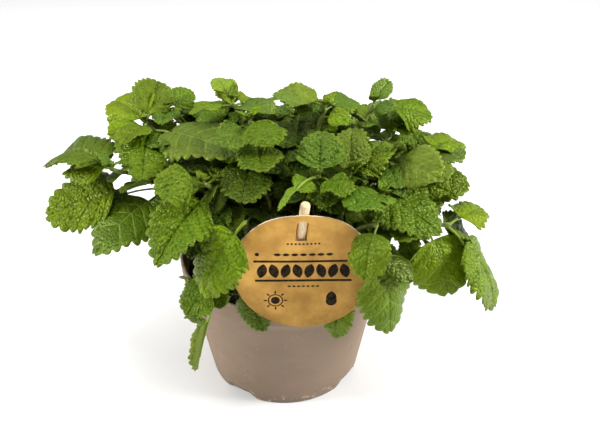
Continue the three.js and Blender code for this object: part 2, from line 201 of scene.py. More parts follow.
# Large leaves: name, stem, height on the stem, tip, petiole length, blade width, bend and turn in
# degrees, then tone (0 dark, 1 bright yellow-green), greyness, fold in degrees and puckering. The
# tone is partly the leaf's own and partly painted shade: leaves deep in the crown's middle and low
# under others are given dark tones where shade falls on them.
LEAVES = [
    ("left_arching", "far_left", 1, (-128, -8, 150), 6, 28, 70, -10, 0.42, 0.25, 0, 1.0),
    ("left_small", "far_left", 0.95, (-118, -22, 153), 8, 26, 35, -20, 0.7, 0, 0, 0.8),
    ("left_broad", "far_left", 0.78, (-131, -34, 128), 18, 33, 14, -30, 0.72, 0, 0, 1.2),
    ("left_under", "far_left", 0.64, (-98, -64, 125), 12, 32, 40, -5, 0.36, 0, -6, 0.4),
    ("left_drooping", "upper_left", 0.95, (-72, -50, 161), 8, 26, 40, 0, 0.6, 0, 0, 1.2),
    ("crown_far_left", "upper_left", 0.94, (-98, 16, 178), 5, 31, 40, -20, 0.85, 0, 8, 0.5),
    ("crown_left", "upper_left", 1, (-72, 22, 187.5), 5, 23, 20, 20, 0.56, 0.15, 8, 0.7),
    ("broad_centre_left", "upper_left", 0.92, (-21, -46, 171), 12, 33, 30, 10, 0.45, 0.8, 0, 0.5),
    ("mid_left", "left_front", 1, (-62, -64, 163), 5, 25, 40, -25, 0.62, 0.1, 0, 1.3),
    ("hanging_left", "left_front", 0.86, (-59, -85, 132), 8, 29, 46, -10, 0.62, 0, 0, 1.3),
    ("by_card_left", "front_left", 1, (-38, -87, 116), 6, 28, 40, -22, 0.8, 0, 0, 1.2),
    ("over_rim_left", "low_left", 1, (-49, -84, 101), 6, 22, 40, -20, 0.5, 0, 0, 1.0),
    ("folded_left", "low_left", 0.93, (-49, -70, 50), 28, 15, 12, -20, 0.7, 0.5, 48, 0.6),
    ("behind_card_left", "low_left", 0.84, (-9, -66.8, 76), 12, 16, 20, 85, 0.35, 0, 0, 1.0),
    ("crown_upright", "top_left", 1, (-36, 9, 195), 4, 14, 20, 0, 0.9, 0.35, 8, 0.5),
    ("crown_turned", "top_left", 0.95, (-50, -14, 183), 5, 16, 40, 5, 0.75, 0.1, 0, 0.8),
    ("crown_centre", "mid_left", 1, (-12, -8, 190), 5, 21, 35, 0, 0.5, 0.5, 0, 0.7),
    ("inner_left", "mid_left", 0.93, (-27, -50, 180), 6, 20, 45, -15, 0.44, 0.3, 6, 0.9),
    ("inner_curled", "mid_left", 1, (-3, -52, 182), 5, 22, 60, 10, 0.5, 0, -8, 0.9),
    ("inner_low", "mid_left", 0.78, (-8, -63, 173), 14, 22, 30, 0, 0.36, 0.1, 0, 1.1),
    ("inner_dark", "mid_left", 0.66, (-19, -72, 161), 22, 24, 40, -10, 0.12, 0.1, 0, 1.2),
    ("crown_mid", "top_mid", 1, (-5, -3, 189), 5, 18, 40, -10, 0.65, 0.5, 8, 0.6),
    ("crown_mid_right", "top_mid", 0.96, (41, 6, 182.5), 5, 20, 35, 10, 0.6, 0.2, 0, 0.8),
    ("front_upright", "mid_right", 1, (21, -38, 184), 2, 25, 20, 0, 0.52, 0.25, 5, 1.3),
    ("front_small", "mid_right", 0.94, (34, -68, 163), 5, 20, 45, 0, 0.5, 0, 0, 1.1),
    ("right_upright", "outer_right", 1, (37, -26, 180), 2, 20, 20, 0, 0.42, 0.65, 5, 1.2),
    ("right_puckered", "outer_right", 0.88, (60, -36, 173), 6, 22, 40, 10, 0.58, 0.2, 0, 1.3),
    ("right_mid", "outer_right", 0.82, (81, -68, 139), 22, 28, 40, 15, 0.42, 0, 0, 1.0),
    ("crown_right", "top_right", 1, (62, 18, 190), 2, 13, 20, 20, 0.55, 0.5, 20, 0.6),
    ("crown_far_right", "top_right", 0.93, (87, 13, 170), 10, 26, 40, 15, 0.66, 0, 0, 0.9),
    ("far_right_high", "right", 1, (101, 7, 157), 6, 22, 40, 14, 0.75, 0, 0, 1.0),
    ("right_broad", "right", 0.84, (86, -44, 158), 5, 30, 60, 0, 0.55, 0.5, 6, 0.5),
    ("far_right", "right", 0.7, (105, -24, 142), 14, 28, 35, 32, 0.42, 0, 0, 0.9),
    ("low_right_out", "low_right", 0.99, (114, -25, 129), 8, 20, 24, 14, 0.78, 0, 0, 1.0),
    ("hanging_right", "low_right", 0.86, (90, -67, 101), 6, 39, 50, 16, 0.70, 0, -6, 0.5),
    ("hanging_far_right", "low_right", 0.97, (117, -62, 88), 12, 30, 45, 10, 0.66, 0.1, -2, 0.9),
    ("by_card_right", "front_right", 1, (42, -87, 126), 4, 22, 45, 10, 0.6, 0.1, 0, 0.6),
    ("over_rim_right", "front_right", 0.88, (58, -84, 90), 20, 28, 40, 0, 0.58, 0.2, 0, 0.55),
    ("behind_card_right", "front_right", 0.6, (30, -67.5, 71), 32, 17, 30, 0, 0.72, 0.2, 0, 0.8),
    ("rear_left_out", "rear_left", 1, (-118, 58, 126), 8, 28, 45, 0, 0.6, 0.1, 0, 1.0),
    ("rear_left_low", "rear_left", 0.9, (-92, 80, 118), 10, 28, 40, 0, 0.5, 0.2, 0, 1.0),
    ("back_left_out", "back_left", 1, (-74, 84, 140), 6, 28, 45, 0, 0.7, 0, 0, 1.1),
    ("back_left_in", "back_left", 0.9, (-38, 90, 138), 8, 26, 40, 0, 0.55, 0.2, 0, 0.9),
    ("back_mid_left", "back_mid", 1, (-12, 94, 144), 6, 26, 45, 0, 0.65, 0, 0, 1.0),
    ("back_mid_right", "back_mid", 0.87, (24, 95, 134), 8, 28, 45, 0, 0.5, 0.3, 0, 1.1),
    ("back_right_in", "back_right", 0.9, (50, 88, 130), 8, 28, 40, 0, 0.6, 0.1, 0, 1.0),
    ("back_right_out", "back_right", 1, (84, 78, 140), 6, 26, 45, 0, 0.7, 0, 0, 0.9),
    ("rear_right_high", "rear_right", 1, (116, 52, 126), 8, 26, 45, 0, 0.75, 0, 0, 1.0),
    ("rear_right_low", "rear_right", 0.88, (104, 74, 106), 10, 28, 40, 0, 0.55, 0.2, 0, 1.0),
]

# Further stems that end in the gaps between the large leaves: their feet on the soil and ends.
SHOOTS = {
    "crown_back_left": ((-24, 4), (-67, 10, 175)),
    "crown_back_mid": ((-4, 10), (8, 12, 170)),
    "right_top": ((30, 2), (62, -2, 164)),
    "right_back": ((36, 8), (89, 6, 151)),
    "right_inner": ((22, -20), (59, -34, 166)),
    "front_inner_left": ((-14, -26), (-30, -50, 161)),
    "front_inner_right": ((22, -34), (53, -58, 158)),
    "right_low_inner": ((30, -28), (78, -48, 141)),
    "low_front_left": ((-24, -40), (-37, -71, 105)),
    "dark_centre": ((-2, -18), (1, -34, 161)),
    "crown_back_low": ((-2, 22), (2, 30, 150)),
}

# Leaves of middle size between the large ones, in the same columns, with tones that are likewise partly
# painted shade.
MORE_LEAVES = [
    ("crown_back_tip", "crown_back_left", 1, (-53, 24, 181), 3, 20, 30, 15, 0.7, 0.1, 6, 0.8),
    ("crown_back_front", "crown_back_left", 0.97, (-66, -13, 176), 3, 16, 45, 0, 0.55, 0.3, 0, 0.7),
    ("crown_back_far", "crown_back_left", 0.96, (-81, 34, 176), 4, 20, 30, -10, 0.8, 0, 0, 0.6),
    ("crown_left_low", "upper_left", 0.9, (-93, -22, 173), 5, 20, 35, -20, 0.78, 0, 0, 0.6),
    ("crown_left_mid", "upper_left", 0.97, (-84, -32, 173), 3, 18, 40, 0, 0.6, 0.1, 0, 0.9),
    ("crown_left_gap", "crown_back_left", 0.88, (-78, -12, 166), 4, 19, 40, 0, 0.4, 0.1, 0, 0.8),
    ("crown_turned_back", "top_left", 0.96, (-9, 11, 179), 4, 18, 30, 10, 0.75, 0.1, 0, 0.7),
    ("crown_upright_front", "top_left", 0.86, (-36, 9, 193), 5, 13, 12, 0, 0.95, 0.3, 5, 0.5),
    ("crown_under_turned", "top_left", 0.84, (-49, 7, 172), 6, 19, 40, -20, 0.6, 0.1, 0, 0.8),
    ("left_dark_behind", "upper_left", 0.86, (-64, -35, 173), 6, 18, 40, 0, 0.3, 0.2, 0, 1),
    ("inner_upright_left", "mid_left", 0.8, (-12, 1, 159), 6, 18, 20, 10, 0.62, 0.2, 0, 0.7),
    ("inner_lobe", "mid_left", 0.88, (-26, -5, 170), 5, 16, 40, 0, 0.62, 0.1, 0, 0.7),
    ("left_fill", "crown_back_left", 0.78, (-52, 27, 170), 3, 20, 25, 0, 0.5, 0.2, 0, 0.8),
    ("fill_by_upright", "top_left", 0.8, (-37, 18, 171), 3, 17, 25, -20, 0.5, 0.2, 0, 0.8),
    ("back_fill_left", "crown_back_left", 0.92, (-44, 30, 164), 5, 22, 30, 0, 0.5, 0.2, 0, 0.8),
    ("back_fill_low", "top_left", 0.88, (-30, 26, 166), 6, 22, 35, 10, 0.45, 0.2, 0, 0.9),
    ("back_fill_mid", "top_left", 0.92, (-4, 16, 172), 7, 22, 35, 0, 0.5, 0.1, 0, 0.8),
    ("back_fill_centre", "crown_back_mid", 0.97, (-18, 30, 166), 4, 22, 35, 0, 0.4, 0.2, 0, 0.9),
    ("back_fill_right", "crown_back_mid", 0.99, (30, 30, 168), 4, 22, 35, 0, 0.45, 0.1, 0, 0.8),
    ("hole_left", "crown_back_low", 0.97, (-15, 36, 162), 3, 24, 30, -10, 0.42, 0.2, 0, 0.9),
    ("hole_right", "crown_back_low", 1, (19, 36, 164), 3, 24, 30, 10, 0.4, 0.2, 0, 0.9),
    ("hole_mid", "crown_back_low", 1, (2, 42, 161), 3, 22, 15, 0, 0.4, 0.1, 0, 0.9),
    ("hole_high", "crown_back_mid", 0.98, (21, 30, 174), 3, 16, 30, 10, 0.5, 0.2, 0, 0.8),
    ("back_fill_far", "top_mid", 0.88, (40, 26, 168), 6, 20, 35, 0, 0.5, 0.2, 0, 0.9),
    ("centre_pale", "crown_back_mid", 1, (-4, 20, 164), 3, 9, 40, 0, 0.85, 0.4, 0, 0.6),
    ("centre_dark_big", "crown_back_mid", 0.93, (3, -22, 166), 6, 22, 40, 0, 0.2, 0.2, 0, 0.8),
    ("centre_edge_on", "crown_back_mid", 0.98, (9, -11, 170), 3, 10, 50, 60, 0.55, 0.3, 0, 1.1),
    ("centre_right_dark", "crown_back_mid", 0.9, (20, 33, 152), 6, 18, 45, 0, 0.35, 0.2, 0, 1),
    ("curly_low", "dark_centre", 1, (-5, -52, 170), 3, 15, 60, -20, 0.3, 0.4, -8, 1.2),
    ("curly_right", "dark_centre", 0.96, (10, -50, 174), 4, 17, 50, 15, 0.3, 0.3, -5, 1.1),
    ("curly_back", "dark_centre", 0.94, (0, -9, 162), 4, 16, 30, 0, 0.28, 0.2, 0, 1),
    ("dark_round", "mid_right", 0.66, (3, -59, 154), 10, 16, 30, 0, 0.2, 0.2, 0, 0.4),
    ("over_card_edge", "mid_right", 0.97, (0, -77, 160), 14, 8, 60, 35, 0.85, 0.3, 25, 0.5),
    ("by_stick_left", "mid_right", 0.92, (9, -67, 165), 5, 13, 40, -20, 0.75, 0.1, 0, 0.8),
    ("by_stick_right", "mid_right", 0.84, (24, -70, 158), 5, 16, 40, 10, 0.3, 0, 0, 0.8),
    ("by_stick_far", "mid_right", 0.76, (31, -66, 152), 8, 17, 40, 0, 0.3, 0.1, 0, 0.8),
    ("inner_low_left", "front_left", 0.86, (-10, -46, 141), 4, 14, 40, 10, 0.45, 0.3, 0, 1.2),
    ("top_small_bright", "top_mid", 0.9, (32, 13, 181), 12, 13, 30, 0, 0.85, 0, 0, 0.7),
    ("top_edge_on", "right_top", 0.93, (35, 8, 176), 4, 16, 30, 40, 0.6, 0.7, 0, 0.7),
    ("top_broad_grey", "right_top", 1, (58, 22, 176), 3, 23, 15, 0, 0.8, 0.6, 8, 0.5),
    ("top_bright_right", "right_top", 0.98, (77, 14, 169), 3, 17, 30, 15, 0.85, 0, 0, 0.7),
    ("top_small_front", "right_top", 0.9, (51, -16, 165), 3, 11, 40, 0, 0.6, 0.6, 0, 0.9),
    ("right_puckered_back", "right_back", 1, (75, 29, 148), 3, 19, 40, 0, 0.5, 0.4, 0, 1.3),
    ("right_high_front", "right_back", 0.96, (89, -20, 151), 4, 18, 40, 0, 0.65, 0, 0, 0.9),
    ("right_brown_tip", "right", 0.9, (103, -15, 160), 5, 20, 30, 0, 0.3, 0.9, 0, 0.8),
    ("right_inner_pale", "right_inner", 1, (61, -39, 179), 2, 10, 20, 0, 0.85, 0.3, 0, 0.6),
    ("right_inner_bud", "right_inner", 0.98, (52, -19, 169), 2, 11, 30, 0, 0.6, 0.6, 0, 0.9),
    ("right_inner_low", "right_inner", 0.93, (60, -56, 160), 4, 16, 45, 0, 0.35, 0.2, 0, 1),
    ("small_bright_stem", "outer_right", 0.9, (39, -55, 175), 4, 10, 20, 0, 0.9, 0, 6, 0.7),
    ("front_mid_leaf", "front_inner_right", 1, (33, -76, 160), 3, 19, 40, -10, 0.48, 0.1, 0, 1.2),
    ("front_mid_up", "front_inner_right", 0.98, (65, -40, 157), 3, 15, 25, 10, 0.4, 0.4, 0, 1),
    ("front_mid_bud", "front_inner_right", 0.9, (55, -70, 159), 4, 10, 40, 0, 0.7, 0.2, 0, 0.9),
    ("dark_right", "front_right", 0.86, (68, -45, 134), 6, 19, 40, 10, 0.25, 0.1, 0, 0.8),
    ("low_mid_right", "right_low_inner", 1, (60, -72, 138), 4, 21, 40, -10, 0.48, 0, 0, 0.8),
    ("low_grey", "right_low_inner", 0.97, (86, -29, 136), 3, 14, 40, 20, 0.45, 0.9, 0, 0.8),
    ("low_narrow", "right_low_inner", 0.9, (66, -65, 114), 8, 12, 45, 30, 0.3, 0.1, 0, 0.6),
    ("low_grey_behind", "low_right", 0.93, (106, -44, 117), 6, 17, 45, 10, 0.4, 0.9, 0, 0.8),
    ("dark_by_rim", "front_right", 0.7, (66, -80, 118), 14, 21, 40, 0, 0.12, 0.1, 0, 0.35),
    ("right_broad_front", "right_inner", 0.99, (80, -54, 164), 3, 25, 40, 38, 0.5, 0.6, 0, 0.45),
    ("far_right_front", "right_inner", 0.86, (88, -46, 151), 9, 20, 30, 30, 0.42, 0, 0, 0.9),
    ("smooth_by_card", "front_right", 0.88, (33, -57, 155), 3, 15, 35, -35, 0.3, 0.1, 0, 0.4),
    ("left_gap", "far_left", 0.9, (-94, -32, 154), 2, 14, 30, -10, 0.5, 0.1, 0, 0.8),
    ("left_gap_low", "far_left", 0.66, (-96, -32, 141), 19, 14, 20, -15, 0.4, 0.1, 0, 0.8),
    ("low_grey_wide", "low_right", 0.91, (101, -38, 124), 5, 17, 20, 45, 0.45, 0.6, 0, 0.7),
    ("right_back_up", "right_back", 0.9, (76, 24, 158), 3, 20, 30, 0, 0.55, 0.1, 0, 0.9),
    ("low_back_mid", "low_right", 0.72, (86, -32, 107), 8, 19, 40, 0, 0.15, 0.1, 0, 0.5),
    ("left_dark_fold", "far_left", 0.72, (-82, -51, 155), 5, 15, 30, 30, 0.35, 0.1, 20, 0.4),
    ("bright_narrow", "left_front", 0.97, (-23, -37, 156), 4, 16, 35, 10, 0.75, 0, 0, 0.9),
    ("inner_young", "front_inner_left", 0.98, (-34, -61, 149), 3, 10, 50, 0, 0.5, 0.7, 0, 0.9),
    ("inner_stem_leaf", "front_inner_left", 1, (-38, -62, 154), 3, 9, 50, 30, 0.6, 0.3, 0, 0.8),
    ("inner_node_leaf", "front_inner_left", 0.99, (-20, -40, 151), 3, 11, 40, 0, 0.55, 0.2, 0, 0.9),
    ("dark_puckered", "front_inner_left", 0.8, (-45, -76, 131), 8, 22, 40, 0, 0.2, 0.2, 0, 1.4),
    ("dark_puckered_in", "front_left", 0.78, (-27, -47, 126), 6, 15, 40, 0, 0.25, 0.1, 0, 1.2),
    ("curled_end", "low_front_left", 1, (-55, -65, 111), 4, 6, 40, 30, 0.35, 0.1, 30, 0.5),
    ("under_over_rim", "low_front_left", 0.97, (-43, -88, 99), 4, 12, 50, 0, 0.5, 0.2, 0, 0.7),
    ("olive_rim", "low_front_left", 0.92, (-30, -82, 104), 4, 10, 50, 20, 0.35, 0.3, 0, 0.6),
]

# Stems whose ends carry no young leaves.
BARE_ENDS = ("front_left", "low_left", "low_right")

# Hollows in the crown that the small leaves keep out of: their middles and radii.
HOLLOWS = np.array([
    (-4, -48, 148, 17),
    (-84, -36, 150, 20),
    (88, -42, 146, 9),
    (70, -56, 122, 9),
    (64, -72, 126, 13),
    (-56, -42, 96, 16),
    (11, -78, 120, 41),
])

# ------------------------------------------------------------------ meshes


def unit(vectors):
    """Vectors scaled to length one."""
    return vectors / np.linalg.norm(vectors, axis=-1, keepdims=True)


def angles(sides):
    """Even angles around a circle."""
    return np.arange(sides) * TAU / sides


def make_piece(name, points, faces, finish, uv_maps=None, smooth=True):
    """An object from points in millimetres and a list of face arrays, each with one face per row."""
    corners = np.concatenate([group.ravel() for group in faces])
    sizes = np.concatenate([np.full(len(group), group.shape[1]) for group in faces])
    mesh = bpy.data.meshes.new(name)
    mesh.vertices.add(len(points))
    mesh.vertices.foreach_set("co", ((points + POT_AXIS) * MM).astype(np.float32).ravel())
    mesh.loops.add(len(corners))
    mesh.loops.foreach_set("vertex_index", corners.astype(np.int32))
    mesh.polygons.add(len(sizes))
    mesh.polygons.foreach_set("loop_start", (np.cumsum(sizes) - sizes).astype(np.int32))
    mesh.polygons.foreach_set("use_smooth", np.full(len(sizes), smooth))
    mesh.update(calc_edges=True)
    for map_name, values in (uv_maps or {}).items():
        layer = mesh.uv_layers.new(name=map_name)
        layer.data.foreach_set("uv", values[corners].astype(np.float32).ravel())
    mesh.materials.append(finish)
    piece = bpy.data.objects.new(name, mesh)
    bpy.context.scene.collection.objects.link(piece)
    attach(piece, "root")
    return piece


def grid_quads(rows, columns, around=False):
    """Faces between neighbouring rows and columns; with around, the last column joins the first."""
    index = np.arange(rows * columns).reshape(rows, columns)
    if around:
        index = np.column_stack([index, index[:, 0]])
    near, far = index[:-1], index[1:]
    return np.stack([near[:, :-1], far[:, :-1], far[:, 1:], near[:, 1:]], axis=-1).reshape(-1, 4)


def sheet_faces(rows, columns):
    """A thin closed sheet from an upper grid and, after it, a lower grid: both faces and the rim."""
    upper = grid_quads(rows, columns)
    index = np.arange(rows * columns).reshape(rows, columns)
    loop = np.concatenate([index[0, :-1], index[:-1, -1], index[-1, :0:-1], index[:0:-1, 0]])
    after = np.roll(loop, -1)
    below = rows * columns
    rim = np.stack([loop, after, after + below, loop + below], axis=-1)
    return [upper, upper[:, ::-1] + below, rim]


def tube(path, side, radius, sides=8, corners=0.0):
    """A closed tube along a plane curve. Each ring is the path's point plus side times cosine and
    the ring's own up times sine, both times the radius, which corners swells four times around."""
    along = unit(np.gradient(path, axis=0))
    up = unit(np.cross(along, side))
    angle = angles(sides)
    swell = (1 + corners * np.cos(4 * angle + math.pi))[None, :] * np.reshape(radius, (-1, 1))
    ring = (
        path[:, None]
        + side * (swell * np.cos(angle))[..., None]
        + up[:, None] * (swell * np.sin(angle))[..., None]
    )
    quads = grid_quads(len(path), sides, around=True)[:, ::-1]
    first = np.arange(sides)[None, ::-1]
    last = np.arange(sides)[None] + (len(path) - 1) * sides
    return ring.reshape(-1, 3), [quads, first, last]


def revolve(radius, height, turn):
    """A closed body from rings of radius and height, each row one ring over the given angles,
    with a point on the axis at the first ring's height and another at the last ring's."""
    points = np.stack([radius * np.cos(turn), radius * np.sin(turn), height], axis=-1)
    rings, sides = radius.shape
    quads = grid_quads(rings, sides, around=True)[:, ::-1]
    ends = np.array([[0, 0, height[0].mean()], [0, 0, height[-1].mean()]])
    around = np.arange(sides)
    ahead = np.roll(around, -1)
    first = np.stack([ahead, around, np.full(sides, rings * sides)], axis=-1)
    shift = (rings - 1) * sides
    last = np.stack([around + shift, ahead + shift, np.full(sides, rings * sides + 1)], axis=-1)
    return np.concatenate([points.reshape(-1, 3), ends]), [quads, first, last]


def joined(parts):
    """One list of points and faces from several."""
    points, faces, start = [], [], 0
    for part_points, part_faces in parts:
        points.append(part_points)
        faces += [group + start for group in part_faces]
        start += len(part_points)
    return np.concatenate(points), faces


def waves(points, length, seed):
    """A smooth unevenness from -1 to 1: the mean of three sine waves in seeded directions."""
    rng = np.random.default_rng(seed)
    total = np.zeros(points.shape[:-1])
    for _ in range(3):
        direction = unit(rng.normal(size=3)) * TAU / (length * rng.uniform(0.7, 1.4))
        total += np.sin(points @ direction + rng.uniform(0, TAU))
    return total / 3


# ------------------------------------------------------------------ finishes


class Number:
    """A number that varies over a surface. Arithmetic on it adds Math nodes to its finish."""

    def __init__(self, finish, socket):
        self.finish = finish
        self.socket = socket

    def math(self, operation, *values):
        return self.finish.math(operation, *values)

    def __add__(self, other):
        return self.math("ADD", self, other)

    def __sub__(self, other):
        return self.math("SUBTRACT", self, other)

    def __rsub__(self, other):
        return self.math("SUBTRACT", other, self)

    def __mul__(self, other):
        return self.math("MULTIPLY", self, other)

    def __pow__(self, other):
        return self.math("POWER", self, other)

    def __abs__(self):
        return self.math("ABSOLUTE", self)

    __radd__ = __add__
    __rmul__ = __mul__

    def least(self, other):
        """The smaller of two numbers."""
        return self.math("MINIMUM", self, other)

    def most(self, other):
        """The larger of two numbers."""
        return self.math("MAXIMUM", self, other)

    def fraction(self):
        """What is left after the whole number."""
        return self.math("FRACT", self)

    def between(self, low, high):
        """0 below low, 1 above high, and an even S-curve between them."""
        node = self.finish.node(
            "ShaderNodeMapRange",
            {"interpolation_type": "SMOOTHSTEP"},
            {"Value": self, "From Min": low, "From Max": high},
        )
        return Number(self.finish, node.outputs["Result"])


class Finish:
    """A procedural material. Nodes are added by type, settings and inputs."""

    def __init__(self, name):
        self.material = bpy.data.materials.new(name)
        self.material.use_nodes = True
        self.tree = self.material.node_tree
        self.tree.nodes.clear()

    def node(self, kind, settings=None, inputs=None):
        """A node of a type: its settings come first, then the values or links of its inputs."""
        node = self.tree.nodes.new(kind)
        for key, value in (settings or {}).items():
            setattr(node, key, value)
        for key, value in (inputs or {}).items():
            if isinstance(value, Number):
                value = value.socket
            if isinstance(value, bpy.types.NodeSocket):
                self.tree.links.new(value, node.inputs[key])
            else:
                node.inputs[key].default_value = value
        return node

    def math(self, operation, *values):
        """The number that a Math node makes of others."""
        node = self.node("ShaderNodeMath", {"operation": operation}, dict(enumerate(values)))
        return Number(self, node.outputs[0])

    def place(self):
        """The place on the object, in metres."""
        return self.node("ShaderNodeTexCoord").outputs["Object"]

    def uv(self, name):
        """The two numbers of a UV map, and the map as a vector."""
        vector = self.node("ShaderNodeUVMap", {"uv_map": name}).outputs["UV"]
        first, second, _ = self.split(vector)
        return first, second, vector

    def split(self, vector):
        """The three numbers of a vector."""
        outputs = self.node("ShaderNodeSeparateXYZ", inputs={"Vector": vector}).outputs
        return [Number(self, socket) for socket in outputs]

    def stretched(self, vector, scale):
        """A vector scaled by its own amount in each direction."""
        mapping = self.node("ShaderNodeMapping", inputs={"Vector": vector, "Scale": scale})
        return mapping.outputs["Vector"]

    def moved(self, vector, amount):
        """A vector shifted by a number, the same way in all directions."""
        inputs = {0: (1, 1, 1), "Scale": amount}
        shift = self.node("ShaderNodeVectorMath", {"operation": "SCALE"}, inputs).outputs[0]
        inputs = {0: vector, 1: shift}
        return self.node("ShaderNodeVectorMath", {"operation": "ADD"}, inputs).outputs[0]

    def noise(self, vector, scale, detail=3.0, roughness=0.5):
        """Soft clouds of a number around one half, scale of them to a unit."""
        inputs = {"Vector": vector, "Scale": scale, "Detail": detail, "Roughness": roughness}
        return Number(self, self.node("ShaderNodeTexNoise", inputs=inputs).outputs["Fac"])

    def cells(self, vector, scale, dimensions="3D"):
        """The distance to the nearest of a set of scattered points."""
        settings = {"voronoi_dimensions": dimensions}
        inputs = {"Vector": vector, "Scale": scale}
        return Number(self, self.node("ShaderNodeTexVoronoi", settings, inputs).outputs["Distance"])

    def mix(self, factor, first, second, blend="MIX"):
        """A colour from first at 0 to second at 1. The node's colours are its inputs 6 and 7."""
        colours = [(*c, 1.0) if isinstance(c, tuple) else c for c in (first, second)]
        settings = {"data_type": "RGBA", "blend_type": blend}
        inputs = {0: factor, 6: colours[0], 7: colours[1]}
        return self.node("ShaderNodeMix", settings, inputs).outputs[2]

    def shade(self, colour, amount):
        """A colour made darker or lighter by a number."""
        settings = {"operation": "SCALE"}
        inputs = {"Vector": colour, "Scale": amount}
        return self.node("ShaderNodeVectorMath", settings, inputs).outputs[0]

    def bump(self, height, distance, strength=1.0):
        """A normal that follows a height; a height of 1 stands the distance high, in metres."""
        inputs = {"Height": height, "Distance": distance, "Strength": strength}
        return self.node("ShaderNodeBump", inputs=inputs).outputs["Normal"]

    def surface(self, inputs):
        """The general shader with these inputs."""
        return self.node("ShaderNodeBsdfPrincipled", inputs=inputs).outputs["BSDF"]

    def done(self, shader):
        """The material with its shader in place."""
        self.node("ShaderNodeOutputMaterial", inputs={"Surface": shader})
        return self.material


def leaf_finish():
    """Green blade: its tone, greyness, side and puckers come with the mesh as UV maps; net veins,
    midrib and side veins are drawn from the blade's own coordinates. Painted shade darkens the
    furrows between the puckers and lightens their tops."""
    f = Finish("balm_leaf")
    row, across, _ = f.uv("blade")
    _, _, flat = f.uv("flat")
    tone, grey, _ = f.uv("tone")
    under, pucker, _ = f.uv("side")
    kind, _, _ = f.uv("kind")

    mottle = f.noise(flat, 1.6, 3.0, 0.6)
    tone = tone + (mottle - 0.5) * 0.5
    dark_to_mid = f.mix(tone.between(0.0, 0.5), (0.017, 0.040, 0.001), (0.068, 0.128, 0.001))
    green = f.mix(tone.between(0.45, 1.05), dark_to_mid, (0.190, 0.285, 0.002))
    pale_green = f.mix(tone.between(0.2, 1.0), (0.060, 0.105, 0.012), (0.220, 0.300, 0.050))
    green = f.mix(grey, green, pale_green)
    cast = f.noise(flat, 0.12, 1.0).between(0.35, 0.65)
    green = f.mix(1.0, green, f.mix(cast, (1.10, 1.0, 0.8), (0.84, 0.97, 1.5)), "MULTIPLY")

    bent = f.noise(flat, 9.0, 2.0)
    cell = f.cells(f.moved(flat, bent * 0.12), 6.4, "2D")
    dome = 1 - (cell * 1.35) ** 2.0
    # Painted shade: the colour is darker in the furrows between the domes and puckers and lighter on
    # their tops.
    green = f.shade(green, 0.76 + 0.14 * dome + 0.20 * pucker)

    midrib = 1 - abs(across).between(0.0, 0.035)
    beside_vein = abs((row * float(SIDE_VEINS) + VEIN_SHIFT).fraction() - 0.5)
    side_vein = beside_vein.between(0.41, 0.49) * (1 - abs(across).between(0.6, 1.0))
    vein = midrib.most(side_vein * 0.75) * (1.5 - kind)
    green = f.mix((vein * (0.6 + 0.2 * under)).least(0.8), green, (0.250, 0.340, 0.052))
    margin = abs(across).between(0.84, 1.0)
    green = f.mix(margin * 0.32, green, (0.250, 0.340, 0.030))
    pale = f.mix(0.6, green, (0.190, 0.245, 0.050))
    colour = f.mix(under, green, pale)

    height = dome * (kind * 0.8 + 0.1) - 0.25 * vein
    normal = f.bump(height - 1.6 * under * height, 0.00050, 1.0)
    roughness = 0.33 - 0.07 * kind + 0.12 * f.noise(flat, 5.0) + 0.3 * under
    blade = f.surface({
        "Base Color": colour,
        "Roughness": roughness,
        "Normal": normal,
        "Specular IOR Level": 0.44,
        "Specular Tint": (0.85, 1.0, 0.25, 1.0),
    })
    through = f.node("ShaderNodeBsdfTranslucent", inputs={"Color": colour, "Normal": normal}).outputs[0]
    return f.done(f.node("ShaderNodeMixShader", inputs={0: 0.26, 1: blade, 2: through}).outputs[0])


def stem_finish():
    """Green stem, paler in streaks along it and browner at its foot."""
    f = Finish("balm_stem")
    place = f.place()
    streaks = f.noise(f.stretched(place, (900.0, 900.0, 90.0)), 1.0, 3.0)
    _, _, height = f.split(place)
    blotch = f.noise(place, 60.0, 2.0)
    green = f.mix(streaks.between(0.3, 0.7), (0.080, 0.120, 0.012), (0.210, 0.265, 0.045))
    foot = 1 - height.between(0.080, 0.105)
    brown = (foot * 0.6).most(blotch.between(0.62, 0.75) * 0.35)
    colour = f.mix(brown, green, (0.130, 0.075, 0.030))
    normal = f.bump(streaks, 0.0003, 0.6)
    return f.done(f.surface({"Base Color": colour, "Roughness": 0.5, "Normal": normal}))


def soil_finish():
    """Moist peat: near black, with brown fibres and crumbs."""
    f = Finish("peat")
    place = f.place()
    crumbs = f.cells(place, 420.0)
    grain = f.noise(place, 900.0, 4.0, 0.7)
    fibre = f.noise(f.stretched(place, (300.0, 900.0, 900.0)), 1.0, 3.0).between(0.62, 0.7)
    colour = f.mix(grain.between(0.3, 0.75), (0.006, 0.004, 0.003), (0.030, 0.019, 0.012))
    colour = f.mix(fibre * 0.7, colour, (0.110, 0.065, 0.030))
    normal = f.bump(crumbs + 0.5 * grain, 0.0012, 1.0)
    return f.done(f.surface({"Base Color": colour, "Roughness": 0.9, "Normal": normal}))


